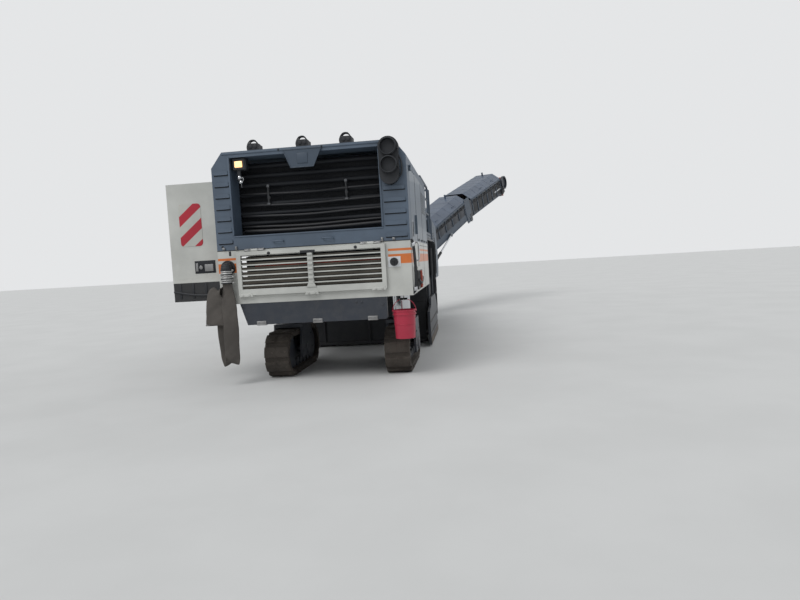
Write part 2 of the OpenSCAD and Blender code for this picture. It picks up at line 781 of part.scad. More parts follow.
module conveyor_lower() place() color(charcoal) {
    w = belt_w / 2;
    low_frame() {
        both_sides() {
            // lift hinge lug and pin, fold lug and pin, and the plates at the fold
            box([w - 45, w], [-60, 60], [-45, under_v + 1]);
            bar_x([w - 1, cheek_x[1]], 0, 0, 40);
            box([w - 88, w - 48], [low_end - 110, low_end], [under_v - fold_drop - 38, under_v + 1]);
            box([w - 88, w - 48], [low_end - 1, low_end + 36], [under_v - fold_drop - 38, under_v - fold_drop + 40]);
            bar_x([w - 50, w + 12], low_end, under_v - fold_drop, 30);
            box([w, w + 14], [low_end - 260, low_end - 80], [under_v - 90, under_v + wall_h + 70]);
            box([w + 5, w + 14], [low_end - 100, low_end + 90], [under_v + 120, under_v + wall_h + 70]);
        }
    }
    // the trough's walls drop towards the hopper
    difference() {
        low_frame() translate([0, low_start, 0]) trough(w, low_end - low_start, wall_h, under_v);
        slewed() across([-w - 1, w + 1]) polygon([[-wall_h, tail_z + tail_h], [60, tail_z + tail_h],
            [60 + wall_h, tail_z + tail_h + wall_h], [-wall_h, tail_z + tail_h + wall_h]]);
    }
    slewed() {
        both_sides() bar_x([w - 1, cylinder_x + 42], rod_pin[0], rod_pin[1], 20);
        difference() {
            bar_z(0, 0, [tail_z, tail_z + tail_h], tail_r);
            bar_z(0, 0, [tail_z + skin, tail_z + tail_h + 1], tail_r - skin);
            box([-tail_r - 1, tail_r + 1], [0, tail_r + 1], [tail_z - 1, tail_z + tail_h + 1]);
        }
    }
}

module conveyor_upper() place() color(charcoal) up_frame() {
    w = belt_w / 2;
    v = fold_drop;
    // the floor stops short of the head roller
    difference() {
        translate([0, 8, 0]) trough(w, upper_len - 8, wall_h - 60, v);
        box([-w + skin, w - skin], [head_axle_y - head_r - 20, upper_len + 1], [v - 1, v + belt_v]);
    }
    difference() {
        both_sides() box([w - 43, w - 1], [-38, 130], [-38, v + 1]);
        bar_x([-w - 1, w + 1], 0, 0, 30 + running);
        both_sides() box([w - 46, w + 1], [-60, 0], [36, v + 30]);
    }
    // drive guard ring at the head and its bracket
    difference() {
        bar_x([w, w + 60], upper_len - 60, v + 330, 215);
        bar_x([w + 12, w + 61], upper_len - 60, v + 330, 185);
    }
}

module lower_belt() place() color(dark) low_frame() {
    w = belt_w / 2 - skin - 20;
    box([-w, w], [low_start + 30, low_end - 40], [under_v + belt_v - belt_t, under_v + belt_v]);
}

module upper_belt() place() color(dark) up_frame() {
    w = belt_w / 2 - skin - 20;
    box([-w, w], [60, head_axle_y], [fold_drop + belt_v - belt_t, fold_drop + belt_v]);
    bar_x([-w, w], head_axle_y, fold_drop + belt_v - head_r, head_r);
    bar_x([-w - 19.7, w + 19.7], head_axle_y, fold_drop + belt_v - head_r, 40);
}

// Arched cover that stands on the walls
module cover(w, y0, y1, v) {
    inner = w - cover_t;
    lengthways([y0, y1]) difference() {
        polygon([[-w, v], [w, v], [w, v + 20], [w * 0.55, v + cover_h], [-w * 0.55, v + cover_h], [-w, v + 20]]);
        polygon([[-inner, v - 1], [inner, v - 1], [inner, v + 14], [w * 0.54, v + cover_h - cover_t],
            [-w * 0.54, v + cover_h - cover_t], [-inner, v + 14]]);
    }
}

module lower_cover() place() color(charcoal) low_frame() {
    cover(belt_w / 2, 820, low_end - 130, under_v + wall_h + running);
    bar_z(0, low_end - 330, [under_v + wall_h + cover_h - 6, under_v + wall_h + cover_h + 110], 28);
}

module upper_cover() place() color(charcoal) up_frame() {
    v = fold_drop + wall_h - 60 + running;
    cover(belt_w / 2, 220, upper_len - 260, v);
    bar_z(0, upper_len - 420, [v + cover_h - 6, v + cover_h + 110], 28);
}

module head_flap() place() color(orange) up_frame() {
    w = belt_w / 2;
    v = fold_drop + wall_h - 60;
    y = upper_len + running;
    box([-w, w], [y, y + 20], [v - 190, v]);
    translate([0, y + 20, v - 190]) rotate([-rise_up, 0, 0]) box([-w + 30, w - 30], [-14, 0], [-430, 60]);
}

module cylinders() {
    slewed() both_sides() translate([cylinder_x, foot[0], foot[1]]) rotate([cylinder_tilt, 0, 0]) children();
}

module lift_barrels() place() color(steel) cylinders() difference() {
    union() {
        bar_x([-32, 32], 0, 0, 48);
        bar_y(0, [0, 1150], 0, 37);
    }
    bar_x([-40, 40], 0, 0, 25 + running);
    bar_y(0, [130, 1151], 0, 24 + running);
}

module lift_rods() place() color([0.7, 0.7, 0.72]) cylinders() difference() {
    union() {
        bar_y(0, [cylinder_len - 1450, cylinder_len], 0, 24);
        bar_x([-30, 30], cylinder_len, 0, 48);
    }
    bar_x([-40, 40], cylinder_len, 0, 32);
}

// Rear fittings

module hose_elbow() place() color(dark) {
    bar_y(hose_x, [rear_y - 75, rear_y], 1530, 62);
    bar_z(hose_x, rear_y - 75, [1330, 1560], 62);
    for (i = [0:3]) bar_z(hose_x, rear_y - 75, [1335 + i * 50, 1360 + i * 50], 74);
}

module fill_hose() place() color([0.45, 0.42, 0.37]) {
    w = 110;
    t = 12;
    y = rear_y - 75;
    // strips: x of the middle, y, lower z, upper z
    strips = [[hose_x, y, 325, 1330], [hose_x - 95, y + 46, 325, 1230], [hose_x - 190, y + 10, 800, 1230]];
    for (s = strips) box([s[0] - w, s[0] + w], [s[1] - t, s[1] + t], [s[2], s[3]]);
    box([hose_x - 95 - w, hose_x + w], [y - t, y + 46 + t], [300, 326]);
    box([hose_x - 190 - w, hose_x - 95 + w], [y + 10 - t, y + 46 + t], [1229, 1255]);
    box([hose_x - 110, hose_x - 60], [y + 46, rear_y], [1210, 1240]);
}

module bucket() place() color([0.75, 0.08, 0.15]) {
    x = bucket_at[0];
    y = bucket_at[1];
    z = [520, 880];
    difference() {
        translate([x, y, z[0]]) cylinder(h = z[1] - z[0], r1 = 124, r2 = 142);
        translate([x, y, z[0] + 8]) cylinder(h = z[1] - z[0], r1 = 118, r2 = 137);
    }
    for (rz = [z[1] - 60, z[1] - 14]) difference() {
        bar_z(x, y, [rz, rz + 14], 150);
        bar_z(x, y, [rz - 1, rz + 15], 136);
    }
    translate([x, y, bail_z - bail_r + 4]) difference() {
        rotate([90, 0, 0]) rotate_extrude() translate([bail_r, 0]) circle(r = 4);
        translate([-200, -200, -200]) cube([400, 400, 200]);
    }
}

main_frame();
lashing_eyes();
conveyor_mount();
column(-left_track, front_axle);  // column_front_left
column(right_track, front_axle);  // column_front_right
column(-left_track, -rear_axle);  // column_rear_left
column(right_track, -rear_axle);  // column_rear_right
yoke(-left_track, front_axle);  // yoke_front_left
yoke(right_track, front_axle);  // yoke_front_right
yoke(-left_track, -rear_axle);  // yoke_rear_left
yoke(right_track, -rear_axle);  // yoke_rear_right
track(-left_track, front_axle);  // track_front_left
track(right_track, front_axle);  // track_front_right
track(-left_track, -rear_axle);  // track_rear_left
track(right_track, -rear_axle);  // track_rear_right
drum_housing();
milling_drum();
scraper_blade();
side_plate_left();
side_plate_right();
plate_cylinders();
drum_drive_cover();
primary_conveyor();
primary_belt();
lower_body();
rear_bumper();
side_panels();
engine_hood();
intake_cooler();
engine_block();
exhaust_housing();
badge_plate();
roof_lights();
work_lamp();
grille_door();
left_door();
right_door();
platform();
guard_rails();
consoles();
operator_seats();
ladders();
front_body();
slew_bracket();
conveyor_lower();
conveyor_upper();
lower_belt();
upper_belt();
lower_cover();
upper_cover();
head_flap();
lift_barrels();
lift_rods();
hose_elbow();
fill_hose();
bucket();
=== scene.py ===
"""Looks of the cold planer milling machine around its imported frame."""
from math import atan2, cos, exp, pi, radians, sin, tan

import bmesh
import bpy
from mathutils import Matrix, Vector


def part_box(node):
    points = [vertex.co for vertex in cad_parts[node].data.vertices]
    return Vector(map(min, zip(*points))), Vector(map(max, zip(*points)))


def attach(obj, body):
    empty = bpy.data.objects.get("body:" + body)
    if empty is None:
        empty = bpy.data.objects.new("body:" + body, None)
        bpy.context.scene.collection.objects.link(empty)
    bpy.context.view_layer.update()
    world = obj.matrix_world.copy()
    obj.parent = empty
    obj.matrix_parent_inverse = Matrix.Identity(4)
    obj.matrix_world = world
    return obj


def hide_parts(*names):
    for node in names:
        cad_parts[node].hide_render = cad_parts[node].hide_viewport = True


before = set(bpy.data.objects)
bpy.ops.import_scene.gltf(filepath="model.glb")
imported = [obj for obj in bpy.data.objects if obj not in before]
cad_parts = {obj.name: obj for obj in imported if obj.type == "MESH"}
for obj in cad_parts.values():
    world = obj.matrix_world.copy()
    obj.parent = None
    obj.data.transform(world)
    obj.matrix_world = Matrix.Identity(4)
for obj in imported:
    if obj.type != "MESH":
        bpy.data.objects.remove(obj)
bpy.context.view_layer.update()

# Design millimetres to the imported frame's metres; the hood's box fixes the offset
hood_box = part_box("engine_hood")
ORIGIN = Vector((-1.28 - hood_box[0][0], -3.914 - hood_box[0][1], 0))
REAR = -3900
HALF_W, FRONT_HALF_W, ROOF_Z = 1250, 1210, 2998


def at(x, y, z):
    return Vector((x / 1000 - ORIGIN.x, y / 1000 - ORIGIN.y, z / 1000))


# Camera, light and ground

EYE = (1950, -11540, 1510)
FOCAL_PX = 615


def make_camera():
    yaw, pitch, roll = (radians(a) for a in (-6.52, -3.74, -3.33))
    forward = Vector((sin(yaw) * cos(pitch), cos(yaw) * cos(pitch), sin(pitch)))
    flat = Vector((cos(yaw), -sin(yaw), 0))
    above = flat.cross(forward)
    right = cos(roll) * flat + sin(roll) * above
    up = -sin(roll) * flat + cos(roll) * above
    cam = bpy.data.cameras.new("camera")
    cam.sensor_width = 36
    cam.lens = FOCAL_PX / 800 * cam.sensor_width
    cam.clip_end = 500
    obj = new_object("camera", cam)
    obj.matrix_world = Matrix.Translation(at(*EYE)) @ Matrix((right, up, -forward)).transposed().to_4x4()
    bpy.context.scene.camera = obj


def new_object(name, data):
    obj = bpy.data.objects.new(name, data)
    bpy.context.scene.collection.objects.link(obj)
    return obj


class Graph:
    """A material's or world's node tree, written as nested calls."""

    def __init__(self, tree):
        self.tree = tree
        tree.nodes.clear()

    def add(self, kind, props=None, out=0, **inputs):
        node = self.tree.nodes.new(kind)
        for key, value in (props or {}).items():
            setattr(node, key, value)
        for key, value in inputs.items():
            socket = node.inputs[int(key[1:])] if key[0] == "i" and key[1:].isdigit() else \
                node.inputs[key.replace("_", " ")]
            self.feed(socket, value)
        return node.outputs[out]

    def feed(self, socket, value):
        """Link an input to an output, or give it a value."""
        if isinstance(value, bpy.types.NodeSocket):
            self.tree.links.new(value, socket)
        else:
            socket.default_value = (*value[:3], 1) if socket.type == "RGBA" else value

    def finish(self, shader, kind="Material"):
        """Send a shader to the tree's output."""
        self.tree.links.new(shader, self.tree.nodes.new("ShaderNodeOutput" + kind).inputs["Surface"])

    def coords(self):
        return self.tree.nodes.new("ShaderNodeTexCoord").outputs["Object"]

    def noise(self, scale, detail=4, vector=None, rough=0.55):
        return self.add("ShaderNodeTexNoise", Scale=scale, Detail=detail, Roughness=rough,
                        Vector=vector or self.coords())

    def math(self, op, a, b=0.5, c=0.5, clamp=False):
        return self.add("ShaderNodeMath", {"operation": op, "use_clamp": clamp}, i0=a, i1=b, i2=c)

    def mul(self, a, b, clamp=False):
        return self.math("MULTIPLY", a, b, clamp=clamp)

    def plus(self, a, b, clamp=False):
        return self.math("ADD", a, b, clamp=clamp)

    def ramp(self, value, low, high, a=0.0, b=1.0):
        return self.add("ShaderNodeMapRange", {"interpolation_type": "SMOOTHSTEP"}, Value=value,
                        From_Min=low, From_Max=high, To_Min=a, To_Max=b)

    def mix(self, factor, a, b, blend="MIX"):
        node = self.tree.nodes.new("ShaderNodeMix")
        node.data_type = "RGBA"
        node.blend_type = blend
        for place, value in ((0, factor), (6, a), (7, b)):
            self.feed(node.inputs[place], value)
        return node.outputs[2]

    def split(self, vector):
        node = self.tree.nodes.new("ShaderNodeSeparateXYZ")
        self.tree.links.new(vector, node.inputs[0])
        return node.outputs

    def between(self, value, low, high, soft=0.001):
        up = self.ramp(value, low - soft, low + soft)
        down = self.ramp(value, high - soft, high + soft, 1.0, 0.0)
        return self.mul(up, down)


def new_material(name):
    mat = bpy.data.materials.new(name)
    mat.use_nodes = True
    return mat, Graph(mat.node_tree)


DUST = (0.19, 0.17, 0.145)


def surface(name, colour, rough=0.5, metal=0.0, spread=0.12, dust=0.35, bump=0.15, grain=90,
            worn=None, edge=0.5, bevel=0.004, masks=None, coat=0.0):
    """A weathered finish: blotchy colour, settled dust, rubbed edges, fine grain."""
    mat, g = new_material(name)
    place = g.coords()
    blotch = g.noise(2.3, 6, place)
    fine = g.noise(grain, 3, place)
    shade = g.ramp(blotch, 0.3, 0.7, 1 - spread, 1 + spread * 0.6)
    base = masks(g, place, colour) if masks else colour
    tint = g.mix(1.0, base, g.add("ShaderNodeCombineXYZ", X=shade, Y=shade, Z=shade), "MULTIPLY")
    geo = g.tree.nodes.new("ShaderNodeNewGeometry")
    up = g.split(geo.outputs["Normal"])[2]
    height = g.split(geo.outputs["Position"])[2]
    low = g.ramp(height, 0.0, 1.6, 1.0, 0.25)
    settle = g.ramp(up, 0.2, 0.95, 0.35, 1.0)
    streak = g.noise(7, 8, place, 0.7)
    cover = g.mul(g.mul(settle, low), g.ramp(streak, 0.35, 0.75))
    cover = g.mul(cover, dust, clamp=True)
    tint = g.mix(cover, tint, DUST)
    rounded = g.add("ShaderNodeBevel", {"samples": 4}, Radius=bevel)
    if worn:
        facing = g.add("ShaderNodeVectorMath", {"operation": "DOT_PRODUCT"}, 1, i0=rounded,
                       i1=geo.outputs["Normal"])
        rim = g.ramp(facing, 0.995, 0.9)
        rim = g.mul(rim, g.ramp(g.noise(25, 4, place), 0.42, 0.62))
        tint = g.mix(g.mul(rim, edge), tint, worn)
    roughness = g.plus(g.mul(fine, 0.18), rough - 0.09)
    roughness = g.plus(roughness, g.mul(cover, 0.35), clamp=True)
    normal = g.add("ShaderNodeBump", Strength=bump, Distance=0.002,
                   Height=g.plus(fine, g.mul(streak, 0.6)), Normal=rounded)
    shader = g.add("ShaderNodeBsdfPrincipled", Base_Color=tint, Roughness=roughness, Metallic=metal, Normal=normal,
                   Coat_Weight=coat)
    g.finish(shader)
    return mat


def make_world():
    """An even pale surround; the lamps and this light render a colour about as written."""
    world = bpy.data.worlds.new("studio")
    bpy.context.scene.world = world
    world.use_nodes = True
    g = Graph(world.node_tree)
    light = g.add("ShaderNodeBackground", Color=(0.94, 0.97, 1.0, 1), Strength=0.6)
    seen = g.add("ShaderNodeBackground", Color=(0.78, 0.79, 0.8, 1), Strength=1.0)
    path = g.tree.nodes.new("ShaderNodeLightPath").outputs
    clear = g.math("MAXIMUM", path["Is Glossy Ray"], path["Is Transmission Ray"])
    shown = g.math("MAXIMUM", path["Is Camera Ray"], clear)
    both = g.add("ShaderNodeMixShader", i0=shown, i1=light, i2=seen)
    g.finish(both, "World")


def make_light():
    # name, strength, softness in degrees, direction it comes from
    for name, energy, angle, source in (("key", 1.25, 35, (-0.5, -0.8, 1.15)), ("fill", 0.25, 60, (0.9, 0.5, 0.7))):
        lamp = bpy.data.lights.new(name, "SUN")
        lamp.energy = energy
        lamp.angle = radians(angle)
        new_object(name, lamp).rotation_euler = Vector(source).to_track_quat("Z", "Y").to_euler()


def make_ground():
    mesh = bpy.data.meshes.new("floor")
    reach = 90
    mesh.from_pydata([(-reach, -reach, 0), (reach, -reach, 0), (reach, reach, 0), (-reach, reach, 0)], [],
                     [(0, 1, 2, 3)])
    obj = new_object("floor", mesh)
    mat, g = new_material("pale_floor")
    cloud = g.ramp(g.noise(0.8, 4), 0.3, 0.7)
    shader = g.add("ShaderNodeBsdfPrincipled", Base_Color=g.mix(cloud, (0.6, 0.6, 0.59), (0.63, 0.63, 0.62)),
                   Roughness=0.9)
    g.finish(shader)
    obj.data.materials.append(mat)


# Forms, in design millimetres

def turn(axis, degrees):
    return Matrix.Rotation(radians(degrees), 4, axis)


def shift(x, y, z):
    return Matrix.Translation((x, y, z))


# slopes of the two sections and the slew at rest, in degrees; the upper section's length
RISE_LOW, RISE_UP, SLEW = 22, 18.5, 25
UPPER_LEN = 3000
# the hinge's and the fold's distance from the slew axis, and how far the frame hangs below its hinge
HINGE_Y, FOLD_RUN, HINGE_DROP, FOLD_DROP = 250, 3250, 62, 70
RISE_COS, RISE_SIN = cos(radians(RISE_LOW)), sin(radians(RISE_LOW))
SLEWED = shift(150, 4250, 0) @ turn("Z", -SLEW)
HINGE_Z = 1240 + HINGE_Y * tan(radians(RISE_LOW)) - HINGE_DROP
UNDER = HINGE_DROP * RISE_COS
LOW_END = FOLD_RUN / RISE_COS
FOLD_Y = HINGE_Y + LOW_END * RISE_COS - (UNDER - FOLD_DROP) * RISE_SIN
FOLD_Z = HINGE_Z + LOW_END * RISE_SIN + (UNDER - FOLD_DROP) * RISE_COS
LOW = SLEWED @ shift(0, HINGE_Y, HINGE_Z) @ turn("X", RISE_LOW)
UP = SLEWED @ shift(0, FOLD_Y, FOLD_Z) @ turn("X", RISE_UP)
BACK, ABOVE = (0, -1, 0), (0, 0, 1)
AT_REAR, AT_PORTAL = shift(0, REAR, 0), shift(0, REAR + 300, 0)
# a door's leaf, measured from its rear end; the left leaf is the right one mirrored and opened about its hinge
LEAF = shift(0, -3580, 0)
DOOR_HINGE = shift(-1266, -3590, 0)
OPEN_LEAF = DOOR_HINGE @ turn("Z", 90) @ DOOR_HINGE.inverted() @ Matrix.Scale(-1, 4, (1, 0, 0)) @ LEAF


def span(a, b):
    return min(a, b), max(a, b)


def curve_points(points, steps=8):
    """A smooth line through the points."""
    pts = [Vector(p) for p in points]
    ends = [2 * pts[0] - pts[1]] + pts + [2 * pts[-1] - pts[-2]]
    out = []
    for i in range(1, len(ends) - 2):
        a, b, c, d = ends[i - 1:i + 3]
        for k in range(steps):
            t = k / steps
            out.append(0.5 * (2 * b + (c - a) * t + (2 * a - 5 * b + 4 * c - d) * t * t
                              + (3 * b - a - 3 * c + d) * t ** 3))
    return out + [pts[-1]]


def bridge(bm, rings, closed):
    """Faces between rings of vertices, closed in a loop or with a cap at each end."""
    sides = len(rings[0])
    for a, b in zip(rings, rings[1:] + rings[:1] if closed else rings[1:]):
        for k in range(sides):
            bm.faces.new((a[k], a[(k + 1) % sides], b[(k + 1) % sides], b[k]))
    if not closed:
        bm.faces.new(rings[0][::-1])
        bm.faces.new(rings[-1])
    bmesh.ops.recalc_face_normals(bm, faces=bm.faces)


def soften(bm, by, steps=2):
    """Round all edges, where a radius is given."""
    if by:
        bmesh.ops.bevel(bm, geom=bm.edges[:], offset=by, segments=steps, profile=0.5, affect="EDGES",
                        clamp_overlap=True)


def aim(axis):
    """The rotation that turns Z to an axis."""
    return Vector(axis).to_track_quat("Z", "Y").to_matrix().to_4x4()


class Form:
    """Closed forms gathered into one piece that rides on a body."""

    def __init__(self, frame_matrix=None):
        self.bm = bmesh.new()
        self.m = frame_matrix or Matrix.Identity(4)

    def add(self, bm, matrix=None):
        if matrix is not None:
            bmesh.ops.transform(bm, matrix=matrix, verts=bm.verts)
        mesh = bpy.data.meshes.new("part")
        bm.to_mesh(mesh)
        bm.free()
        self.bm.from_mesh(mesh)
        bpy.data.meshes.remove(mesh)
        return self

    def box(self, x, y, z, round_by=0.0, steps=2, matrix=None):
        bm = bmesh.new()
        bmesh.ops.create_cube(bm, size=1)
        for v in bm.verts:
            v.co = Vector((x[0] + (x[1] - x[0]) * (v.co.x + 0.5), y[0] + (y[1] - y[0]) * (v.co.y + 0.5),
                           z[0] + (z[1] - z[0]) * (v.co.z + 0.5)))
        soften(bm, round_by, steps)
        return self.add(bm, matrix)

    def rod(self, a, b, r, sides=20, round_by=0.0):
        a, b = Vector(a), Vector(b)
        bm = bmesh.new()
        bmesh.ops.create_cone(bm, cap_ends=True, segments=sides, radius1=r, radius2=r,
                              depth=(b - a).length)
        if round_by:
            rims = [e for e in bm.edges if all(abs(abs(v.co.z) - (b - a).length / 2) < 1e-4 for v in e.verts)]
            bmesh.ops.bevel(bm, geom=rims, offset=round_by, segments=2, profile=0.5, affect="EDGES")
        return self.add(bm, Matrix.Translation((a + b) / 2) @ aim(b - a))

    def tube(self, points, r, sides=12, closed=False):
        """A round tube along points."""
        pts = [Vector(p) for p in points]
        bm = bmesh.new()
        rings = []
        side = None
        for i, p in enumerate(pts):
            nxt = pts[(i + 1) % len(pts)] if closed or i < len(pts) - 1 else p
            prv = pts[i - 1] if closed or i > 0 else p
            d = (nxt - prv).normalized()
            if side is None:
                side = d.orthogonal().normalized()
            side = (side - d * side.dot(d)).normalized()
            other = d.cross(side)
            rings.append([bm.verts.new(p + r * (cos(2 * pi * k / sides) * side
                          + sin(2 * pi * k / sides) * other)) for k in range(sides)])
        bridge(bm, rings, closed)
        return self.add(bm)

    def prism(self, outline, axis, lo, hi, round_by=0.0):
        """An outline in the two other axes, extruded along x, y or z."""
        bm = bmesh.new()
        spot = {"x": lambda u, v, w: (w, u, v), "y": lambda u, v, w: (u, w, v), "z": lambda u, v, w: (u, v, w)}[axis]
        low = [bm.verts.new(spot(u, v, lo)) for u, v in outline]
        high = [bm.verts.new(spot(u, v, hi)) for u, v in outline]
        bm.faces.new(low)
        bm.faces.new(high[::-1])
        for i in range(len(outline)):
            j = (i + 1) % len(outline)
            bm.faces.new((low[i], high[i], high[j], low[j]))
        bmesh.ops.recalc_face_normals(bm, faces=bm.faces)
        soften(bm, round_by)
        return self.add(bm)

    def ring(self, centre, axis, r_out, r_in, depth, sides=32):
        """A flat ring with its axis along the given direction."""
        profile = [(r_in, -depth / 2), (r_out, -depth / 2), (r_out, depth / 2), (r_in, depth / 2)]
        return self.turned(centre, axis, profile, sides)

    def turned(self, centre, axis, profile, sides=32):
        """A profile of (radius, height) pairs turned about an axis; one that starts on the axis is solid."""
        bm = bmesh.new()
        rings = [[bm.verts.new((r * cos(2 * pi * k / sides), r * sin(2 * pi * k / sides), h))
                  for k in range(sides)] for r, h in profile]
        bridge(bm, rings, profile[0][0] > 0)
        return self.add(bm, Matrix.Translation(centre) @ aim(axis))

    def bend(self, points, steps, r, sides):
        """A round tube along a smooth line through the points."""
        return self.tube(curve_points(points, steps), r, sides)

    def raised(self, side, face, depth, y, z, round_by=2.0):
        """A box that stands out from a face on the left (-1) or right (1) side."""
        return self.box(span(side * (face - 1), side * (face + depth)), y, z, round_by)

    def bolt_circle(self, centre, axis, r, count, size, h=8, first=0.0):
        """Bolts round a centre, in the plane across the x, y or z axis."""
        x, y, z = centre
        for k in range(count):
            a = first + 2 * pi / count * k
            u, v = r * cos(a), r * sin(a)
            spot = (x, y + u, z + v) if axis[0] else (x + u, y, z + v) if axis[1] else (x + u, y + v, z)
            self.bolt(spot, axis, size, h)
        return self

    def bolt(self, spot, axis, r=11, h=8):
        axis = Vector(axis).normalized()
        spot = Vector(spot)
        self.rod(spot - axis * 2, spot + axis * 3, r * 1.45, sides=16)
        self.rod(spot + axis * 2, spot + axis * h, r, sides=6, round_by=1.2)
        return self

    def hose_end(self, spot, r, half, nut):
        """A hexagonal fitting on an upright hose."""
        return self.turned(spot, ABOVE, [(0, -half), (r, -half), (r + 2, -nut), (r + 2, nut), (r, half), (0, half)],
                           6)

    def piece(self, name, finish, body="machine", slot=None, angle=35):
        mesh = bpy.data.meshes.new(name)
        bmesh.ops.transform(self.bm, matrix=Matrix.Translation(-ORIGIN) @ Matrix.Scale(0.001, 4) @ self.m,
                            verts=self.bm.verts)
        if self.m.determinant() < 0:
            bmesh.ops.reverse_faces(self.bm, faces=self.bm.faces)
        self.bm.to_mesh(mesh)
        self.bm.free()
        mesh.materials.append(MAT[finish])
        mesh.polygons.foreach_set("use_smooth", [True] * len(mesh.polygons))
        mesh.set_sharp_from_angle(angle=radians(angle))
        obj = new_object(name, mesh)
        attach(obj, body)
        return obj


def forms(count, matrix=None):
    return [Form(matrix) for _ in range(count)]


# Finishes

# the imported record's colour slot of each finish
SLOTS = {finish: slot for slot, finishes in {
    "black": "black recess soot", "bucket_red": "bucket", "canvas": "canvas", "cream_paint": "cream striped white",
    "lamp_glass": "glow", "hood_grey": "hood", "dark_metal": "pipe screen", "orange_rubber": "red_bar",
    "seat_cover": "seat", "tool_steel": "tool", "track_steel": "track",
    "steel": "chrome dull_steel silver steel", "charcoal_paint": "charcoal cover deck olive slate",
}.items() for finish in finishes.split()}
CREAM = (0.52, 0.525, 0.495)
ORANGE = (0.62, 0.16, 0.03)
HOOD = (0.078, 0.108, 0.15)
CHARCOAL = (0.024, 0.03, 0.042)


def body_stripes(g, place, colour):
    """Two orange stripes round the lower body, with the white field left between them."""
    x, y, z = g.split(place)
    band = g.plus(g.between(z, 1.465, 1.585), g.between(z, 1.625, 1.655), clamp=True)
    past_door = g.plus(g.ramp(x, at(960, 0, 0).x, at(962, 0, 0).x),
                       g.ramp(x, at(-1012, 0, 0).x, at(-1010, 0, 0).x, 1.0, 0.0), clamp=True)
    return g.mix(g.mul(band, past_door), colour, ORANGE)


def shaded_right_upper(g, place, colour):
    """Painted shade: the right side's upper panels are darkened to a blue-grey near the hood's, as that side sits in
    shade.
    """
    x, y, z = g.split(place)
    right = g.mul(g.ramp(x, at(1205, 0, 0).x, at(1207, 0, 0).x), g.ramp(z, 1.752, 1.754))
    return g.mix(right, colour, (0.1, 0.135, 0.175))


def side_finish(g, place, colour):
    return shaded_right_upper(g, place, body_stripes(g, place, colour))


def dark_skirt(g, place, colour):
    """A side door's rubber skirt below the painted leaf."""
    upper = shaded_right_upper(g, place, colour)
    return g.mix(g.ramp(g.split(place)[2], 1.361, 1.363), (0.012, 0.013, 0.015), upper)


MAT = {}


def striped_plate():
    """Red and light diagonal stripes inside a plate with round corners."""
    def stripes(g, place, colour):
        x, y, z = g.split(place)
        run = g.plus(g.mul(x, 0.634), g.mul(z, -0.773))
        wave = g.math("FRACT", g.plus(g.mul(run, 4.62), 0.428))
        return g.mix(g.between(wave, 0.0, 0.5, 0.012), (0.5, 0.5, 0.46), (0.42, 0.012, 0.03))
    return surface("striped_plate", (0.5, 0.5, 0.46), 0.4, dust=0.25, bump=0.05, masks=stripes)


def tread_plate():
    """Charcoal deck plate with raised bars that lie two ways."""
    def bars(g, place, colour):
        x, y, z = g.split(place)
        per_metre = 14.0
        cell = g.plus(*(g.math("FLOOR", g.mul(c, per_metre)) for c in (x, y)))
        way = g.math("MODULO", g.math("ABSOLUTE", cell), 2.0)
        u, v = (g.math("SUBTRACT", g.math("FRACT", g.mul(c, per_metre)), 0.5) for c in (x, y))
        along = g.plus(g.mul(u, way), g.mul(v, g.math("SUBTRACT", 1.0, way)))
        across = g.plus(g.mul(v, way), g.mul(u, g.math("SUBTRACT", 1.0, way)))
        bar = g.mul(g.between(along, -0.36, 0.36, 0.03), g.between(across, -0.1, 0.1, 0.03))
        return g.mix(bar, colour, (0.12, 0.12, 0.125))
    return surface("deck_plate", (0.03, 0.032, 0.036), 0.5, dust=0.5, masks=bars)


def lit_lens():
    mat, g = new_material("lit_lens")
    place = g.coords()
    ribs = g.math("SINE", g.mul(g.split(place)[0], 420.0))
    glow = g.mix(g.ramp(ribs, -1, 1), (1.0, 0.36, 0.1), (1.0, 0.62, 0.28))
    shader = g.add("ShaderNodeBsdfPrincipled", Base_Color=(0.9, 0.7, 0.4, 1), Roughness=0.2,
                   Emission_Color=glow, Emission_Strength=1.3)
    g.finish(shader)
    return mat


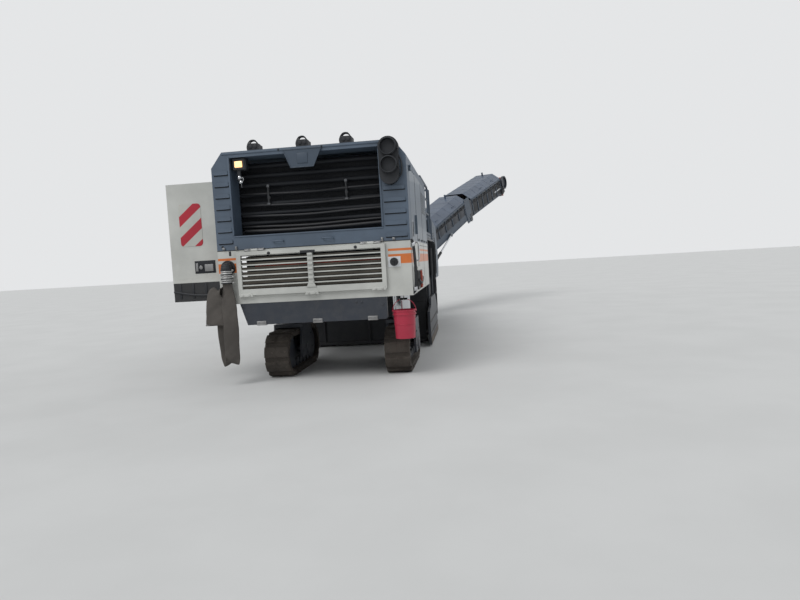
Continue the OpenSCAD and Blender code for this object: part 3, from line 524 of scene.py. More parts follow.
def make_finishes():
    painted = dict(dust=0.45, worn=(0.3, 0.28, 0.25), edge=0.35, coat=0.1)
    MAT.update(
        cream=surface("cream_paint", CREAM, 0.42, **painted),
        cream_striped=surface("cream_paint_striped", CREAM, 0.42, **painted, masks=body_stripes),
        side=surface("side_paint", CREAM, 0.42, **painted, masks=side_finish),
        door=surface("door_paint", CREAM, 0.42, **{**painted, "dust": 0.35}, masks=dark_skirt),
        hood=surface("hood_plastic", HOOD, 0.5, dust=0.3, spread=0.16, bump=0.1),
        charcoal=surface("charcoal_paint", CHARCOAL, 0.45, dust=0.5, worn=(0.2, 0.19, 0.18), edge=0.5),
        slate=surface("slate_paint", (0.05, 0.073, 0.105), 0.45, dust=0.3, worn=(0.22, 0.22, 0.22), edge=0.5),
        black=surface("matt_black", (0.012, 0.014, 0.018), 0.6, dust=0.2),
        # painted shade: near-black for recesses, holes, the space behind the grille and the strips under the hood's
        # ribs, where shade falls
        recess=surface("painted_shade_recess", (0.006, 0.008, 0.012), 0.7, dust=0.05),
        steel=surface("bare_steel", (0.3, 0.3, 0.3), 0.35, metal=0.9, dust=0.4, spread=0.25),
        silver=surface("worn_silver", (0.5, 0.5, 0.49), 0.4, metal=0.3, dust=0.25, spread=0.3),
        chrome=surface("chromed_rod", (0.55, 0.56, 0.58), 0.15, metal=1.0, dust=0.15, bump=0.02),
        cover=surface("cover_paint", (0.08, 0.105, 0.15), 0.45, dust=0.3, worn=(0.25, 0.26, 0.28), edge=0.5),
        track=surface("track_steel", (0.042, 0.034, 0.028), 0.75, metal=0.2, dust=0.55, spread=0.4,
                      bump=0.6, worn=(0.2, 0.17, 0.14), edge=0.8),
        tool=surface("cutter_steel", (0.12, 0.1, 0.085), 0.6, metal=0.6, dust=0.8, spread=0.4, bump=0.5),
        rubber=surface("belt_rubber", (0.018, 0.018, 0.019), 0.75, dust=0.7, bump=0.3),
        flap=surface("flap_rubber", (0.58, 0.09, 0.03), 0.6, dust=0.25, spread=0.25),
        canvas=surface("hose_sleeve", (0.085, 0.076, 0.068), 0.9, dust=0.2, spread=0.3, bump=0.6, grain=260),
        bucket=surface("bucket_red", (0.42, 0.018, 0.05), 0.4, dust=0.1, coat=0.1),
        seat=surface("seat_cover", (0.02, 0.02, 0.022), 0.55, dust=0.3, bump=0.4, grain=220),
        # the intake pipes: black, darkened further as painted shade of the intake recess
        pipe=surface("dusty_pipe_in_shade", (0.01, 0.011, 0.014), 0.5, dust=0.25, bump=0.2),
        dull_steel=surface("dull_steel", (0.16, 0.165, 0.175), 0.45, metal=0.4, dust=0.3),
        # soot on the exhaust mouths, with painted shade for the depth of the pipes
        soot=surface("sooty_shaded_pipe", (0.006, 0.008, 0.012), 0.6, dust=0.05, bump=0.4),
        olive=surface("dusty_screen", (0.07, 0.062, 0.05), 0.85, dust=0.15, spread=0.35, bump=0.6, grain=400),
        red_bar=surface("red_bar", (0.34, 0.045, 0.02), 0.5, dust=0.15, spread=0.3),
        white=surface("white_plate", (0.66, 0.68, 0.7), 0.4, dust=0.2),
        deck=tread_plate(),
        screen=surface("console_screen", (0.01, 0.014, 0.02), 0.12, dust=0.05, bump=0.02, coat=0.5),
        striped=striped_plate(),
        glow=lit_lens())


NODE_FINISH = {node: finish for finish, nodes in {
    "charcoal": "main_frame lashing_eyes conveyor_mount side_plate_left side_plate_right drum_drive_cover "
                "primary_conveyor rear_bumper platform slew_bracket conveyor_upper",
    # drum_housing and scraper_blade: matt black, darkened from charcoal as painted shade under the machine
    "black": "drum_housing scraper_blade plate_cylinders engine_block exhaust_housing roof_lights work_lamp "
             "consoles ladders lift_barrels hose_elbow",
    "tool": "milling_drum",
    "rubber": "primary_belt lower_belt upper_belt",
    "cream_striped": "lower_body",
    "side": "side_panels",
    "hood": "engine_hood front_body",
    # the intake's cooler is dark metal, darkened to near-black as painted shade of the intake recess
    "recess": "intake_cooler",
    "slate": "badge_plate guard_rails conveyor_lower",
    "cream": "grille_door",
    "door": "left_door right_door",
    "seat": "operator_seats",
    "cover": "lower_cover upper_cover",
    "flap": "head_flap",
    "chrome": "lift_rods",
    "canvas": "fill_hose",
    "bucket": "bucket",
}.items() for node in nodes.split()}


def dress_nodes():
    for name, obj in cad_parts.items():
        kind = NODE_FINISH.get(name)
        if name.startswith("column_"):
            kind = "chrome"
        elif name.startswith("yoke_"):
            kind = "charcoal"
        elif name.startswith("track_"):
            kind = "track"
        if not obj.material_slots:
            obj.data.materials.append(MAT[kind])
        for s in obj.material_slots:
            s.material = MAT[kind]


# Rear of the hood

def hood_details():
    trim, shadow = forms(2, AT_REAR)
    rows = [(-1215, -1035, 7, 2760), (955, 1215, 5, 2430)]
    for x0, x1, count, top in rows:
        for i in range(count):
            z = top - i * 145 - 40
            shadow.box((x0 - 6, x1 + 6), (-4, 2), (z - 20, z + 1), 2)
            trim.bend([(x0 - 6, -2, z + 26), (x0 + 2, -8, z + 4), (x0 + 24, -12, z - 2), (x1 - 24, -12, z - 2),
                       (x1 - 2, -8, z + 4), (x1 + 6, -2, z + 26)], 4, 6, 8)
    # moulded rim round the intake and the ledge below it
    for x in (-1016, 916):
        trim.box((x - 12, x + 12), (-12, 24), (1935, 2925), 6, 3)
    trim.box((-1020, 920), (-8, 20), (1912, 1932), 5, 3)
    trim.box((-1105, 1105), (-10, 24), (2962, 2990), 8, 3)
    for x in (-430, 215):
        trim.bend([(x - 62, 0, 1835), (x - 58, -34, 1838), (x + 58, -34, 1838), (x + 62, 0, 1835)], 5, 9, 10)
    trim.piece("hood_trim", "hood")
    # holes in the roof's front strip, drain holes and the panel seams
    for x in (-350, 205):
        shadow.rod((x, -11.5, 2975), (x, -3, 2975), 13, sides=16)
    for x in (-1175, 1150):
        shadow.rod((x, -2, 1800), (x, 3, 1800), 16, sides=16)
    shadow.box((-HALF_W, HALF_W), (-3, 3), (1747, 1756), 1)
    shadow.box((908, 914), (-3, 2), (2930, 2962), 1)
    shadow.piece("hood_shadow_lines", "recess")
    latch = Form(AT_REAR)
    for x in (-1165, 1035):
        latch.box((x - 8, x + 26), (-22, 0), (1762, 1792), 4)
        latch.rod((x + 9, -30, 1776), (x + 9, -18, 1776), 12, sides=16, round_by=2)
    for x, z in ((-992, 1800), (898, 1800)):
        latch.box((x - 14, x + 14), (-20, 0), (1756, z), 3)
        latch.bolt((x, -20, 1785), BACK, 8)
    latch.piece("hood_latches", "steel")


def intake_details():
    # the cooler's fins: dark metal, darkened to near-black as painted shade of the intake recess
    fins = Form(AT_PORTAL)
    for x in range(-990, 880, 26):
        fins.box((x, x + 5), (112, 119), (1950, 2885))
    fins.piece("cooler_fins", "recess", slot="dark_metal")
    # pipes across the intake, near-black as painted shade of the recess
    pipes = Form(AT_PORTAL)
    for i, z in enumerate((2050, 2190, 2330, 2480)):
        pipes.bend([(-1000, 28, z + 10), (-700, -4, z), (-100, -12, z - 14), (450, -4, z + 4), (890, 28, z + 16)],
                   6, 19 - i, 12)
    pipes.bend([(-960, -6, 2000), (-400, -30, 1985), (300, -28, 1992), (870, -6, 2010)], 6, 26, 12)
    pipes.piece("intake_pipes", "pipe")
    rods = Form(AT_PORTAL)
    for x in (-610, 430):
        rods.rod((x, -26, 2350), (x, -26, 2560), 13, sides=16, round_by=4)
        rods.rod((x, -26, 2330), (x, -26, 2352), 22, sides=6)
        rods.rod((x, -26, 2556), (x, -26, 2590), 20, sides=6)
        rods.box((x - 16, x + 16), (-30, 12), (2410, 2440), 3)
    rods.piece("intake_rods", "dull_steel")


def lamp_details():
    housing = Form(AT_REAR)
    housing.box((-985, -800), (40, 135), (2765, 2922), 14, 3)
    for i in range(6):
        housing.box((-978, -807), (134, 150), (2782 + i * 22, 2790 + i * 22), 2)
    housing.box((-905, -880), (60, 110), (2915, 2932), 3)
    housing.piece("lamp_housing", "black")
    Form(AT_REAR).box((-950, -846), (24, 45), (2800, 2882), 10, 3).piece("lamp_front", "glow")
    fitting = Form(AT_REAR)
    fitting.rod((-905, 70, 2640), (-905, 70, 2765), 9, sides=12)
    fitting.turned((-905, 66, 2680), (0.3, -1, 0.4), [(0, -16), (26, -14), (32, 0), (22, 16), (10, 22), (0, 22)], 20)
    fitting.turned((-893, 66, 2618), (-0.2, -1, -0.5), [(0, -12), (20, -12), (26, 2), (14, 16), (0, 16)], 20)
    fitting.bend([(-905, 70, 2700), (-860, 74, 2660), (-890, 80, 2600), (-900, 110, 2560)], 5, 6, 8)
    fitting.piece("lamp_fitting", "chrome")


def roof_details():
    units = Form(AT_REAR)
    for x in (-690, -50, 510):
        units.bend([(x - 78, 60, 2998), (x - 80, 50, 3060), (x - 40, 46, 3122), (x + 20, 46, 3128),
                    (x + 52, 50, 3092), (x + 54, 60, 3070)], 5, 8, 8)
        units.box((x - 66, x + 66), (36, 150), (3068, 3092), 9, 3)
        for dx in (30, -30):
            units.rod((x + dx, 22, 3048), (x + dx, 60, 3048), 24, sides=20, round_by=3)
        for dx in (-60, 60):
            units.bolt((x + dx, 110, 3076), ABOVE, 9)
    units.piece("roof_unit_brackets", "black")


def badge_details():
    rim = Form(AT_REAR)
    outline = [(-290, 2965), (200, 2965), (90, 2740), (-200, 2740)]
    for (x0, z0), (x1, z1) in zip(outline, outline[1:] + outline[:1]):
        rim.rod((x0, -24, z0), (x1, -24, z1), 6, sides=10)
    rim.box((-112, 22), (-30, -20), (2785, 2915), 6, 3)
    rim.piece("badge_rim", "slate", slot="hood_grey")


def exhaust_details():
    x = 1045
    rims = Form(AT_REAR)
    for z in (2895, 2675):
        rims.turned((x, -155, z), BACK, [(90, 0), (90, 5), (96, 9), (104, 7), (108, 0), (106, -18), (98, -18)], 40)
        # a near-black disc deep in each mouth: soot, and the painted shade of the pipe's depth
        rims.turned((x, -104, z), BACK, [(0, -2), (50, 0), (91, 1), (91, -6), (0, -6)], 36)
    rims.piece("exhaust_rims", "soot")
    clamp = Form(AT_REAR)
    for z in (2895, 2675):
        clamp.ring((x, -116, z), (0, 1, 0), 109, 103, 16, 40)
        clamp.box((x + 98, x + 126), (-124, -108), (z - 40, z - 14), 3)
        clamp.bolt((x + 112, -124, z - 27), BACK, 7)
    clamp.bend([(x + 118, -60, 2800), (x + 150, -50, 2700), (x + 140, -40, 2560), (x + 60, -30, 2500)], 6, 10, 10)
    clamp.piece("exhaust_clamps", "black")


# Lower body

def lower_details():
    steel = Form(AT_REAR)
    for x in (-750, 750):
        steel.box((x - 130, x + 130), (-26, -2), (1752, 1762), 3)
        for dx in (-128, 62):
            steel.rod((x + dx, -30, 1740), (x + dx + 66, -30, 1740), 13, sides=16, round_by=2)
    steel.piece("grille_hinge_strips", "steel")
    latches = Form(AT_REAR)
    for x, z in ((-890, 1200), (-30, 1190), (830, 1200)):
        latches.prism([(x - 95, z - 52), (x + 95, z - 52), (x + 70, z - 8), (x - 70, z - 8)], "y", -52, -44, 3)
        for dx in (-42, 42):
            latches.bolt((x + dx, -52, z - 32), BACK, 11, 10)
    latches.piece("grille_latches", "cream", "grille")
    dots = Form(AT_REAR)
    for x, z in ((-560, 1690), (560, 1700)):
        dots.rod((x, -52, z), (x, -44, z), 20, sides=20, round_by=2)
    dots.box((-150, 40), (-54, -44), (1664, 1700), 4, 3)
    dots.box((-1098, -1068), (-3, 1), (1684, 1742), 2)
    dots.box((-135, 25), (-58, -53), (1672, 1682), 2)
    dots.piece("grille_handle", "black", "grille")
    mesh = Form(AT_REAR)
    for x0, x1 in ((-935, -70), (10, 875)):
        for i in range(7):
            z = 1262 + i * 60
            mesh.prism([(-12, z - 12), (-8, z - 12), (-24, z + 24), (-28, z + 24)], "x", x0, x1)
    mesh.piece("grille_screens", "olive", "grille")
    # a near-black sheet of painted shade behind the grille
    Form(AT_REAR).box((-900, 870), (70, 84), (1190, 1660), 4).piece("grille_shade_sheet", "recess")
    bar = Form(AT_REAR)
    bar.box((-780, 860), (34, 62), (1500, 1562), 8, 3)
    for x in (-600, -200, 300, 700):
        bar.bolt((x, 34, 1531), BACK, 10)
    bar.piece("inner_red_bar", "red_bar")
    post = Form(AT_REAR)
    for z in range(1290, 1700, 60):
        post.box((-62, 2), (-58, -44), (z - 16, z + 16), 6, 3)
    post.prism([(-95, 1232), (35, 1232), (4, 1290), (-64, 1290)], "y", -56, -44, 3)
    post.piece("grille_post", "cream", "grille")
    Form(AT_REAR).box((955, 1115), (-5, 0), (1425, 1555), 3).piece("filler_plate", "white")
    cap = Form(AT_REAR)
    cap.turned((1035, -26, 1490), BACK, [(0, 0), (46, 0), (52, 6), (52, 18), (44, 24), (0, 20)], 36)
    cap.turned((1035, -50, 1490), BACK, [(18, 0), (30, 0), (30, 6), (18, 6)], 30)
    cap.box((1029, 1041), (-62, -48), (1466, 1514), 3)
    cap.piece("filler_cap", "black")


def bumper_details():
    clips = Form(AT_REAR)
    for x in (-730, 10, 720):
        clips.box((x - 62, x + 62), (-8, 52), (770, 792), 4)
        clips.box((x - 62, x + 62), (-10, 0), (790, 826), 3)
        for dx in (-32, 32):
            clips.bolt((x + dx, -10, 808), BACK, 9)
    clips.piece("bumper_clips", "steel")
    marks = Form(AT_REAR)
    for x, z in ((520, 1010), (590, 1006), (860, 960), (-960, 1020)):
        marks.bolt((x, 0, z), BACK, 12)
    marks.piece("bumper_bolts", "charcoal")


# Doors

def door_details():
    plate = Form(OPEN_LEAF)
    # the striped plate's outline: a quarter turn at each corner, and every other corner runs backwards
    corners = [(455 + sy * (155 - 46 * (1 - cos(a))), 2135 + sz * (285 - 46 * (1 - sin(a))))
               for sy, sz in ((1, 1), (-1, 1), (-1, -1), (1, -1))
               for a in [pi / 6 * k for k in range(4)][::sy * sz]]
    plate.prism(corners, "x", HALF_W, HALF_W + 3)
    plate.piece("left_door_marker", "striped", "door_left")
    # the door's handle recess is a dark patch of painted shade
    recess = Form(OPEN_LEAF)
    recess.box((HALF_W, HALF_W + 4), (150, 440), (1480, 1650), 1.5)
    recess.piece("left_door_recess", "recess", "door_left")
    lock = Form(OPEN_LEAF)
    lock.box((1252, 1262), (180, 300), (1505, 1600), 4)
    lock.rod((1254, 350, 1560), (1268, 350, 1560), 26, sides=20, round_by=3)
    lock.box((1254, 1262), (390, 425), (1510, 1620), 3)
    lock.piece("left_door_lock", "steel", "door_left")
    stay = Form(OPEN_LEAF)
    stay.bend([(1262, 60, 1640), (1268, 75, 1760), (1264, 85, 1850)], 6, 8, 10)
    stay.piece("left_door_stay", "black", "door_left")
    for matrix, body in ((LEAF, "door_right"), (OPEN_LEAF, "door_left")):
        fold = Form(matrix)
        fold.box((1213, 1216), (30, 735), (1400, 1420), 1)
        for z in (1700, 2050, 2400):
            fold.box((1203, 1216), (60, 705), (z, z + 40), 4)
        for y in (60, 665):
            fold.box((1203, 1216), (y, y + 40), (1400, 2660), 4)
        fold.piece("door_frame_" + body[5:], "cream", body)
        skirt = Form(matrix)
        skirt.bend([(1300, 40, 1240), (1316, 250, 1190), (1310, 500, 1205), (1300, 735, 1250)], 6, 16, 10)
        for k in range(4):
            skirt.box((1292, 1304), (90 + k * 180, 120 + k * 180), (1150, 1350), 4)
        skirt.piece("door_skirt_" + body[5:], "black", body)


# Hose: a flat woven sleeve that falls from its ribbed coupling, turns at the bottom, and folds over a hook

def hose_details():
    x, y = -1120, REAR - 75
    coupling = Form()
    for i in range(6):
        z = 1352 + i * 27
        coupling.turned((x, y, z), ABOVE, [(58, -12), (72, -9), (77, 0), (72, 9), (58, 12)], 32)
    for z in (1340, 1420, 1500):
        coupling.box((x + 70, x + 92), (y - 14, y + 14), (z - 9, z + 9), 3)
        coupling.bolt((x + 82, y - 14, z), BACK, 6)
    coupling.piece("hose_coupling_ribs", "silver")
    bend = Form()
    bend.bend([(x, REAR + 2, 1530), (x, REAR - 40, 1534), (x, y - 2, 1522), (x, y, 1496)], 8, 68, 24)
    bend.ring((x, REAR - 8, 1530), (0, 1, 0), 96, 60, 16, 32)
    bend.bolt_circle((x, REAR - 16, 1530), BACK, 82, 6, 7)
    bend.piece("hose_elbow_bend", "black")
    make_sleeve()


def make_sleeve():
    # centre of the sleeve: x, y, z, half width
    route = [(-1120, -3975, 1345, 62), (-1120, -3977, 1290, 66), (-1122, -3978, 1180, 84), (-1116, -3976, 1000, 98),
             (-1114, -3979, 760, 100), (-1120, -3976, 520, 100), (-1126, -3974, 380, 98), (-1150, -3953, 318, 96),
             (-1186, -3933, 380, 98), (-1205, -3929, 560, 100), (-1212, -3930, 800, 100), (-1216, -3929, 1040, 102),
             (-1232, -3930, 1190, 104), (-1262, -3947, 1236, 106), (-1296, -3966, 1180, 108),
             (-1312, -3967, 1030, 112), (-1322, -3966, 900, 118), (-1330, -3964, 806, 122)]
    centre = curve_points([p[:3] for p in route], 7)
    half = [v.x for v in curve_points([(p[3], 0, 0) for p in route], 7)]
    across = 14
    crown = 17
    bm = bmesh.new()
    rows = []
    run = 0.0
    for i, p in enumerate(centre):
        if i:
            run += (p - centre[i - 1]).length
        ahead = centre[min(i + 1, len(centre) - 1)] - centre[max(i - 1, 0)]
        side = Vector((1, 0, 0))
        side = (side - ahead.normalized() * side.dot(ahead.normalized())).normalized()
        out = ahead.normalized().cross(side)
        row = []
        for k in range(across + 1):
            t = -1 + 2 * k / across
            crease = 5 * sin(run / 47 + 2.3 * t) * (1 - t * t) + 3 * sin(run / 19 + 5 * t)
            edge = 3 * sin(run / 61 + 4 * (t > 0)) * abs(t)
            row.append(bm.verts.new(p + side * (half[i] * t + edge) + out * (crown * (1 - t * t) - 6 + crease * 0.6)))
        rows.append(row)
    for a, b in zip(rows, rows[1:]):
        for k in range(across):
            bm.faces.new((a[k], a[k + 1], b[k + 1], b[k]))
    sleeve = Form()
    sleeve.add(bm)
    piece = sleeve.piece("fill_hose_sleeve", "canvas", angle=80)
    thick = piece.modifiers.new("thickness", "SOLIDIFY")
    thick.thickness = 0.006
    hem = Form()
    p, w = centre[-1], half[-1]
    hem.tube([p + Vector((-w, -5, 0)), p + Vector((-w * 0.3, 8, -3)), p + Vector((w * 0.4, 8, -2)), p
              + Vector((w, -4, 0))], 6, 10)
    band = hem.piece("fill_hose_hem", "canvas")
    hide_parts("fill_hose")


# Tracks: places follow the part's own oval of shoes

TRACK_LEN, TRACK_H, TRACK_W, SHOES, PAD = 1730, 610, 330, 20, 26
END_R = TRACK_H / 2
HALF_RUN = TRACK_LEN / 2 - END_R
BAND_R = END_R - PAD
UNITS = {"front_left": (-665, 2650), "front_right": (965, 2650), "rear_left": (-665, -2750),
         "rear_right": (965, -2750)}


def on_oval(s, r):
    """Where a shoe sits on a track's oval, at a distance along it, seen from the track's middle."""
    run, arc = 2 * HALF_RUN, pi * r
    p = s % (2 * run + 2 * arc)
    if p < run:
        y, z, a = -HALF_RUN + p, -r, 0.0
    elif p < run + arc:
        a = (p - run) / r
        y, z = HALF_RUN + r * sin(a), -r * cos(a)
    elif p < 2 * run + arc:
        y, z, a = HALF_RUN - (p - run - arc), r, pi
    else:
        t = (p - 2 * run - arc) / r
        y, z, a = -HALF_RUN - r * sin(t), r * cos(t), pi + t
    return shift(0, y, z) @ Matrix.Rotation(a, 4, "X")


def track_details():
    pitch = (4 * HALF_RUN + 2 * pi * BAND_R) / SHOES
    for unit, (tx, ty) in UNITS.items():
        pads, bolts, links = forms(3)
        for i in range(SHOES):
            spot = shift(tx, ty, END_R) @ on_oval((i + 0.5) * pitch, BAND_R)
            for x0, x1 in ((-158, -8), (8, 158)):
                pads.box((x0, x1), (-pitch * 0.33, pitch * 0.33), (-PAD - 2, -PAD + 8), 5, matrix=spot)
            out = (spot.to_3x3() @ Vector((0, 0, -1))).normalized()
            for x in (-118, -52, 52, 118):
                bolts.bolt(spot @ Vector((x, 0, -PAD - 0.5)), out, 9, 3)
            spot = shift(tx, ty, END_R) @ on_oval((i + 0.5) * pitch, BAND_R - 30)
            for side in (-1, 1):
                links.box((side * 166 - 4, side * 166 + 4), (-pitch * 0.3, pitch * 0.3), (-20, 16), 3, matrix=spot)
                links.rod(spot @ Vector((side * 163, 0, 0)), spot @ Vector((side * 172, 0, 0)), 11, sides=14,
                          round_by=2)
        body = "unit_" + unit
        pads.piece("track_pads_" + unit, "track", body)
        bolts.piece("track_bolts_" + unit, "track", body)
        links.piece("track_links_" + unit, "track", body)
        hub = Form()
        for side in (-1, 1):
            x = tx + side * (TRACK_W / 2 + 46)
            hub.turned((x, ty, END_R), (side, 0, 0), [(0, 0), (92, 0), (92, 8), (78, 14), (30, 16), (0, 20)], 36)
            hub.bolt_circle((x + side * 9, ty, END_R), (side, 0, 0), 67.2, 8, 8, 7)
            for yy, zz in ((-240, 300), (240, 300), (-200, 500), (200, 500)):
                hub.bolt((x, ty + yy, zz), (side, 0, 0), 11)
        hub.piece("yoke_hubs_" + unit, "charcoal", body)
        wiper = Form().turned((tx, ty, 1120), (0, 0, -1), [(126, 0), (140, 0), (140, 26), (126, 30)], 40)
        wiper.piece("column_wiper_" + unit, "black")


# Discharge conveyor, drawn in the frames of its two sections

HALF_BELT, WALL_H, COVER_H = 525, 560, 210


def cover_band(form, v, y0, y1, lift):
    """A raised band over an arched cover."""
    w = HALF_BELT
    outer = [(w + lift, v), (w + lift, v + 20), (w * 0.55 + lift, v + COVER_H + lift),
             (-w * 0.55 - lift, v + COVER_H + lift), (-w - lift, v + 20), (-w - lift, v)]
    inner = [(-w + 2, v), (-w + 2, v + 18), (-w * 0.55, v + COVER_H - 3), (w * 0.55, v + COVER_H - 3),
             (w - 2, v + 18), (w - 2, v)]
    for a in range(5):
        form.prism([outer[a], outer[a + 1], inner[4 - a], inner[5 - a]], "y", y0, y1)


def conveyor_details():
    # section, its frame and body, first and last place along it, underside, wall height, lowest rib
    sections = [("lower", LOW, "boom_lower", 420, LOW_END - 300, UNDER, WALL_H, 190),
                ("upper", UP, "boom_upper", 260, UPPER_LEN - 320, FOLD_DROP, WALL_H - 60, 30)]
    for name, matrix, body, first, last, v, wall, foot in sections:
        ribs, dark, hoses, bands = forms(4, matrix)
        count = round((last - first) / 440)
        step = (last - first) / count
        for side in (-1, 1):
            for i in range(count + 1):
                u = first + i * step
                ribs.raised(side, HALF_BELT, 16, (u - 20, u + 20), (v + foot, v + wall - 28), 3)
                for w in (v + foot + 30, v + wall - 60):
                    ribs.bolt((side * (HALF_BELT + 16), u, w), (side, 0, 0), 8, 6)
            # raised panels between the ribs, painted darker than the wall as the shade between the ribs
            for i in range(count):
                u = first + i * step
                dark.raised(side, HALF_BELT, 2, (u + 34, u + step - 34), (v + max(foot, 60) + 14, v + wall - 60), 1)
            ribs.raised(side, HALF_BELT, 22, (first - 30, last + 30), (v + wall - 26, v + wall - 2), 4)
            ribs.raised(side, HALF_BELT, 9, (first - 30, last + 30), (v + 2, v + 26), 3)
            for k in range(2):
                z = v + wall - 92 - k * 34
                hoses.bend([(side * (HALF_BELT + 20), first + (last - first) * t, z + 9 * sin(9 * t + k))
                            for t in (0, 0.2, 0.4, 0.6, 0.8, 1)], 5, 11, 10)
            for i in range(count):
                u = first + (i + 0.5) * step
                hoses.box(span(side * 524, side * 560), (u - 14, u + 14), (v + wall - 148, v + wall - 66), 4)
        top = v + wall
        for i in range(count + 1):
            u = first + 160 + i * (last - first - 220) / count
            if name == "lower" and u < 900:
                continue
            cover_band(bands, top, u - 14, u + 14, 3)
        for side in (-1, 1):
            for u in (first + (last - first) * t for t in (0.4, 0.8)):
                bands.bend([(side * 440, u - 70, top + 92), (side * 466, u - 62, top + 112),
                            (side * 466, u + 62, top + 112), (side * 440, u + 70, top + 92)], 5, 7, 10)
        ribs.piece(name + "_wall_ribs", "slate", body)
        # the panels carry painted shade: charcoal on the lower section's slate wall, black on the upper's charcoal
        # wall
        dark.piece(name + "_wall_shade_panels", "charcoal" if name == "lower" else "black", body, slot="charcoal_paint")
        hoses.piece(name + "_hoses", "black", body)
        bands.piece(name + "_cover_bands", "cover", body)


def head_details():
    marks = Form(UP)
    for side in (-1, 1):
        marks.box(span(side * (HALF_BELT + 2), side * (HALF_BELT + 8)), (UPPER_LEN - 900, UPPER_LEN - 360),
                  (FOLD_DROP + 190, FOLD_DROP + 226), 2)
    marks.piece("head_white_strips", "white", "boom_upper")
    drive = Form(UP)
    for side in (-1, 1):
        y, z = UPPER_LEN - 260, FOLD_DROP + 80
        drive.turned((side * 520, y, z), (side, 0, 0), [(0, 0), (112, 0), (112, 12), (84, 22), (84, 54), (0, 58)], 32)
        drive.bolt_circle((side * 532, y, z), (side, 0, 0), 98, 8, 8)
    drive.bend([(560, UPPER_LEN - 260, 190), (600, UPPER_LEN - 420, 330), (560, UPPER_LEN - 640, 420),
                (545, UPPER_LEN - 900, 480)], 6, 13, 10)
    drive.piece("head_drive", "black", "boom_upper")
    flap = Form(UP)
    for x in (-470, -235, 0, 235, 470):
        flap.bolt((x, UPPER_LEN + 21, FOLD_DROP + 480), (0, 1, 0), 10)
    flap.box((-500, 500), (UPPER_LEN + 20, UPPER_LEN + 25), (FOLD_DROP + 462, FOLD_DROP + 498), 2)
    flap.piece("flap_clamp", "steel", "boom_upper")


def fold_details():
    pins = Form(LOW)
    for side in (-1, 1):
        for u in (230, 110):
            for v in (40, 330, 580):
                pins.bolt((side * 539, LOW_END - u, UNDER + v), (side, 0, 0), 13, 10)
        pins.turned((side * 537, LOW_END, UNDER - FOLD_DROP), (side, 0, 0),
                    [(0, 0), (46, 0), (46, 10), (34, 16), (0, 18)], 28)
        pins.turned((side * 639, 0, 0), (side, 0, 0), [(0, 0), (62, 0), (62, 9), (46, 15), (0, 17)], 28)
    pins.piece("fold_fasteners", "dull_steel", "boom_lower")


# Platform

FLOOR_Z = 1890


def platform_details():
    Form().box((-1205, 1205), (-690, 1690), (FLOOR_Z, FLOOR_Z + 4), 1.5).piece("deck_plate", "deck")
    kick = Form()
    for side in (-1, 1):
        x = side * 1206
        kick.box(span(x, x + side * 6), (-640, 1130), (FLOOR_Z, FLOOR_Z + 110), 2)
        for y in range(-560, 1120, 240):
            kick.bolt((x + side * 6, y, FLOOR_Z + 55), (side, 0, 0), 9)
    kick.piece("toe_boards", "slate")
    joints = Form()
    for side in (-1, 1):
        x = side * 1175
        for y in (-640, 245, 1130):
            joints.turned((x, y, FLOOR_Z), ABOVE, [(0, 0), (52, 0), (52, 8), (26, 12), (26, 40), (0, 40)], 24)
            joints.bolt_circle((x, y, FLOOR_Z + 8), ABOVE, 38, 4, 6, first=pi / 4)
            joints.turned((x, y, 2390), ABOVE, [(21, -22), (27, -20), (27, 20), (21, 22)], 24)
        joints.tube([(x, -560, 2670), (x, 1060, 2670)], 14, 14)
    joints.piece("rail_fittings", "slate")
    grips = Form()
    for side in (-1, 1):
        for i in range(5):
            z = 505 + i * 290
            x0, x1 = span(side * 1156, side * 1248)
            grips.box((x0, x1), (1225, 1605), (z, z + 5), 1.5)
            for y in range(1240, 1600, 24):
                grips.box((x0 + 6, x1 - 6), (y, y + 9), (z + 4, z + 9), 1.5)
        rail = side * 1236
        for y in (1196, 1634):
            grips.bend([(rail, y, 1180), (rail + side * 22, y, 1230), (rail + side * 22, y, 1760), (rail, y, 1810)],
                       6, 12, 12)
    grips.piece("ladder_treads", "black")


def console_details():
    for side in (-1, 1):
        # the panels' slope is that of the consoles' own tops
        panel = shift(side * 760, 1160, FLOOR_Z + 850) @ Matrix.Rotation(atan2(210, 260), 4, "X")
        top = Form(panel)
        top.box((-318, 318), (14, 318), (0, 7), 3)
        top.box((-110, 110), (60, 250), (6, 24), 6)
        for k in range(2):
            for i in range(4):
                for s in (-1, 1):
                    top.turned((s * (150 + i * 40), 90 + k * 90, 6), ABOVE,
                               [(0, 0), (14, 0), (14, 5), (10, 12), (0, 13)], 18)
        top.tube([(-290, 40, 4), (-290, 20, 52), (290, 20, 52), (290, 40, 4)], 9, 12)
        word = "left" if side < 0 else "right"
        top.piece("console_panel_" + word, "black")
        glass = Form(panel)
        glass.box((-96, 96), (74, 236), (23, 26), 1)
        for x in (-250, 250):
            glass.turned((x, 250, 6), ABOVE, [(0, 0), (9, 0), (9, 60), (17, 70), (17, 92), (0, 98)], 20)
        glass.piece("console_screen_" + word, "screen")


# Seats: crowned cushions with sewn channels and piping, on the seats' own posts

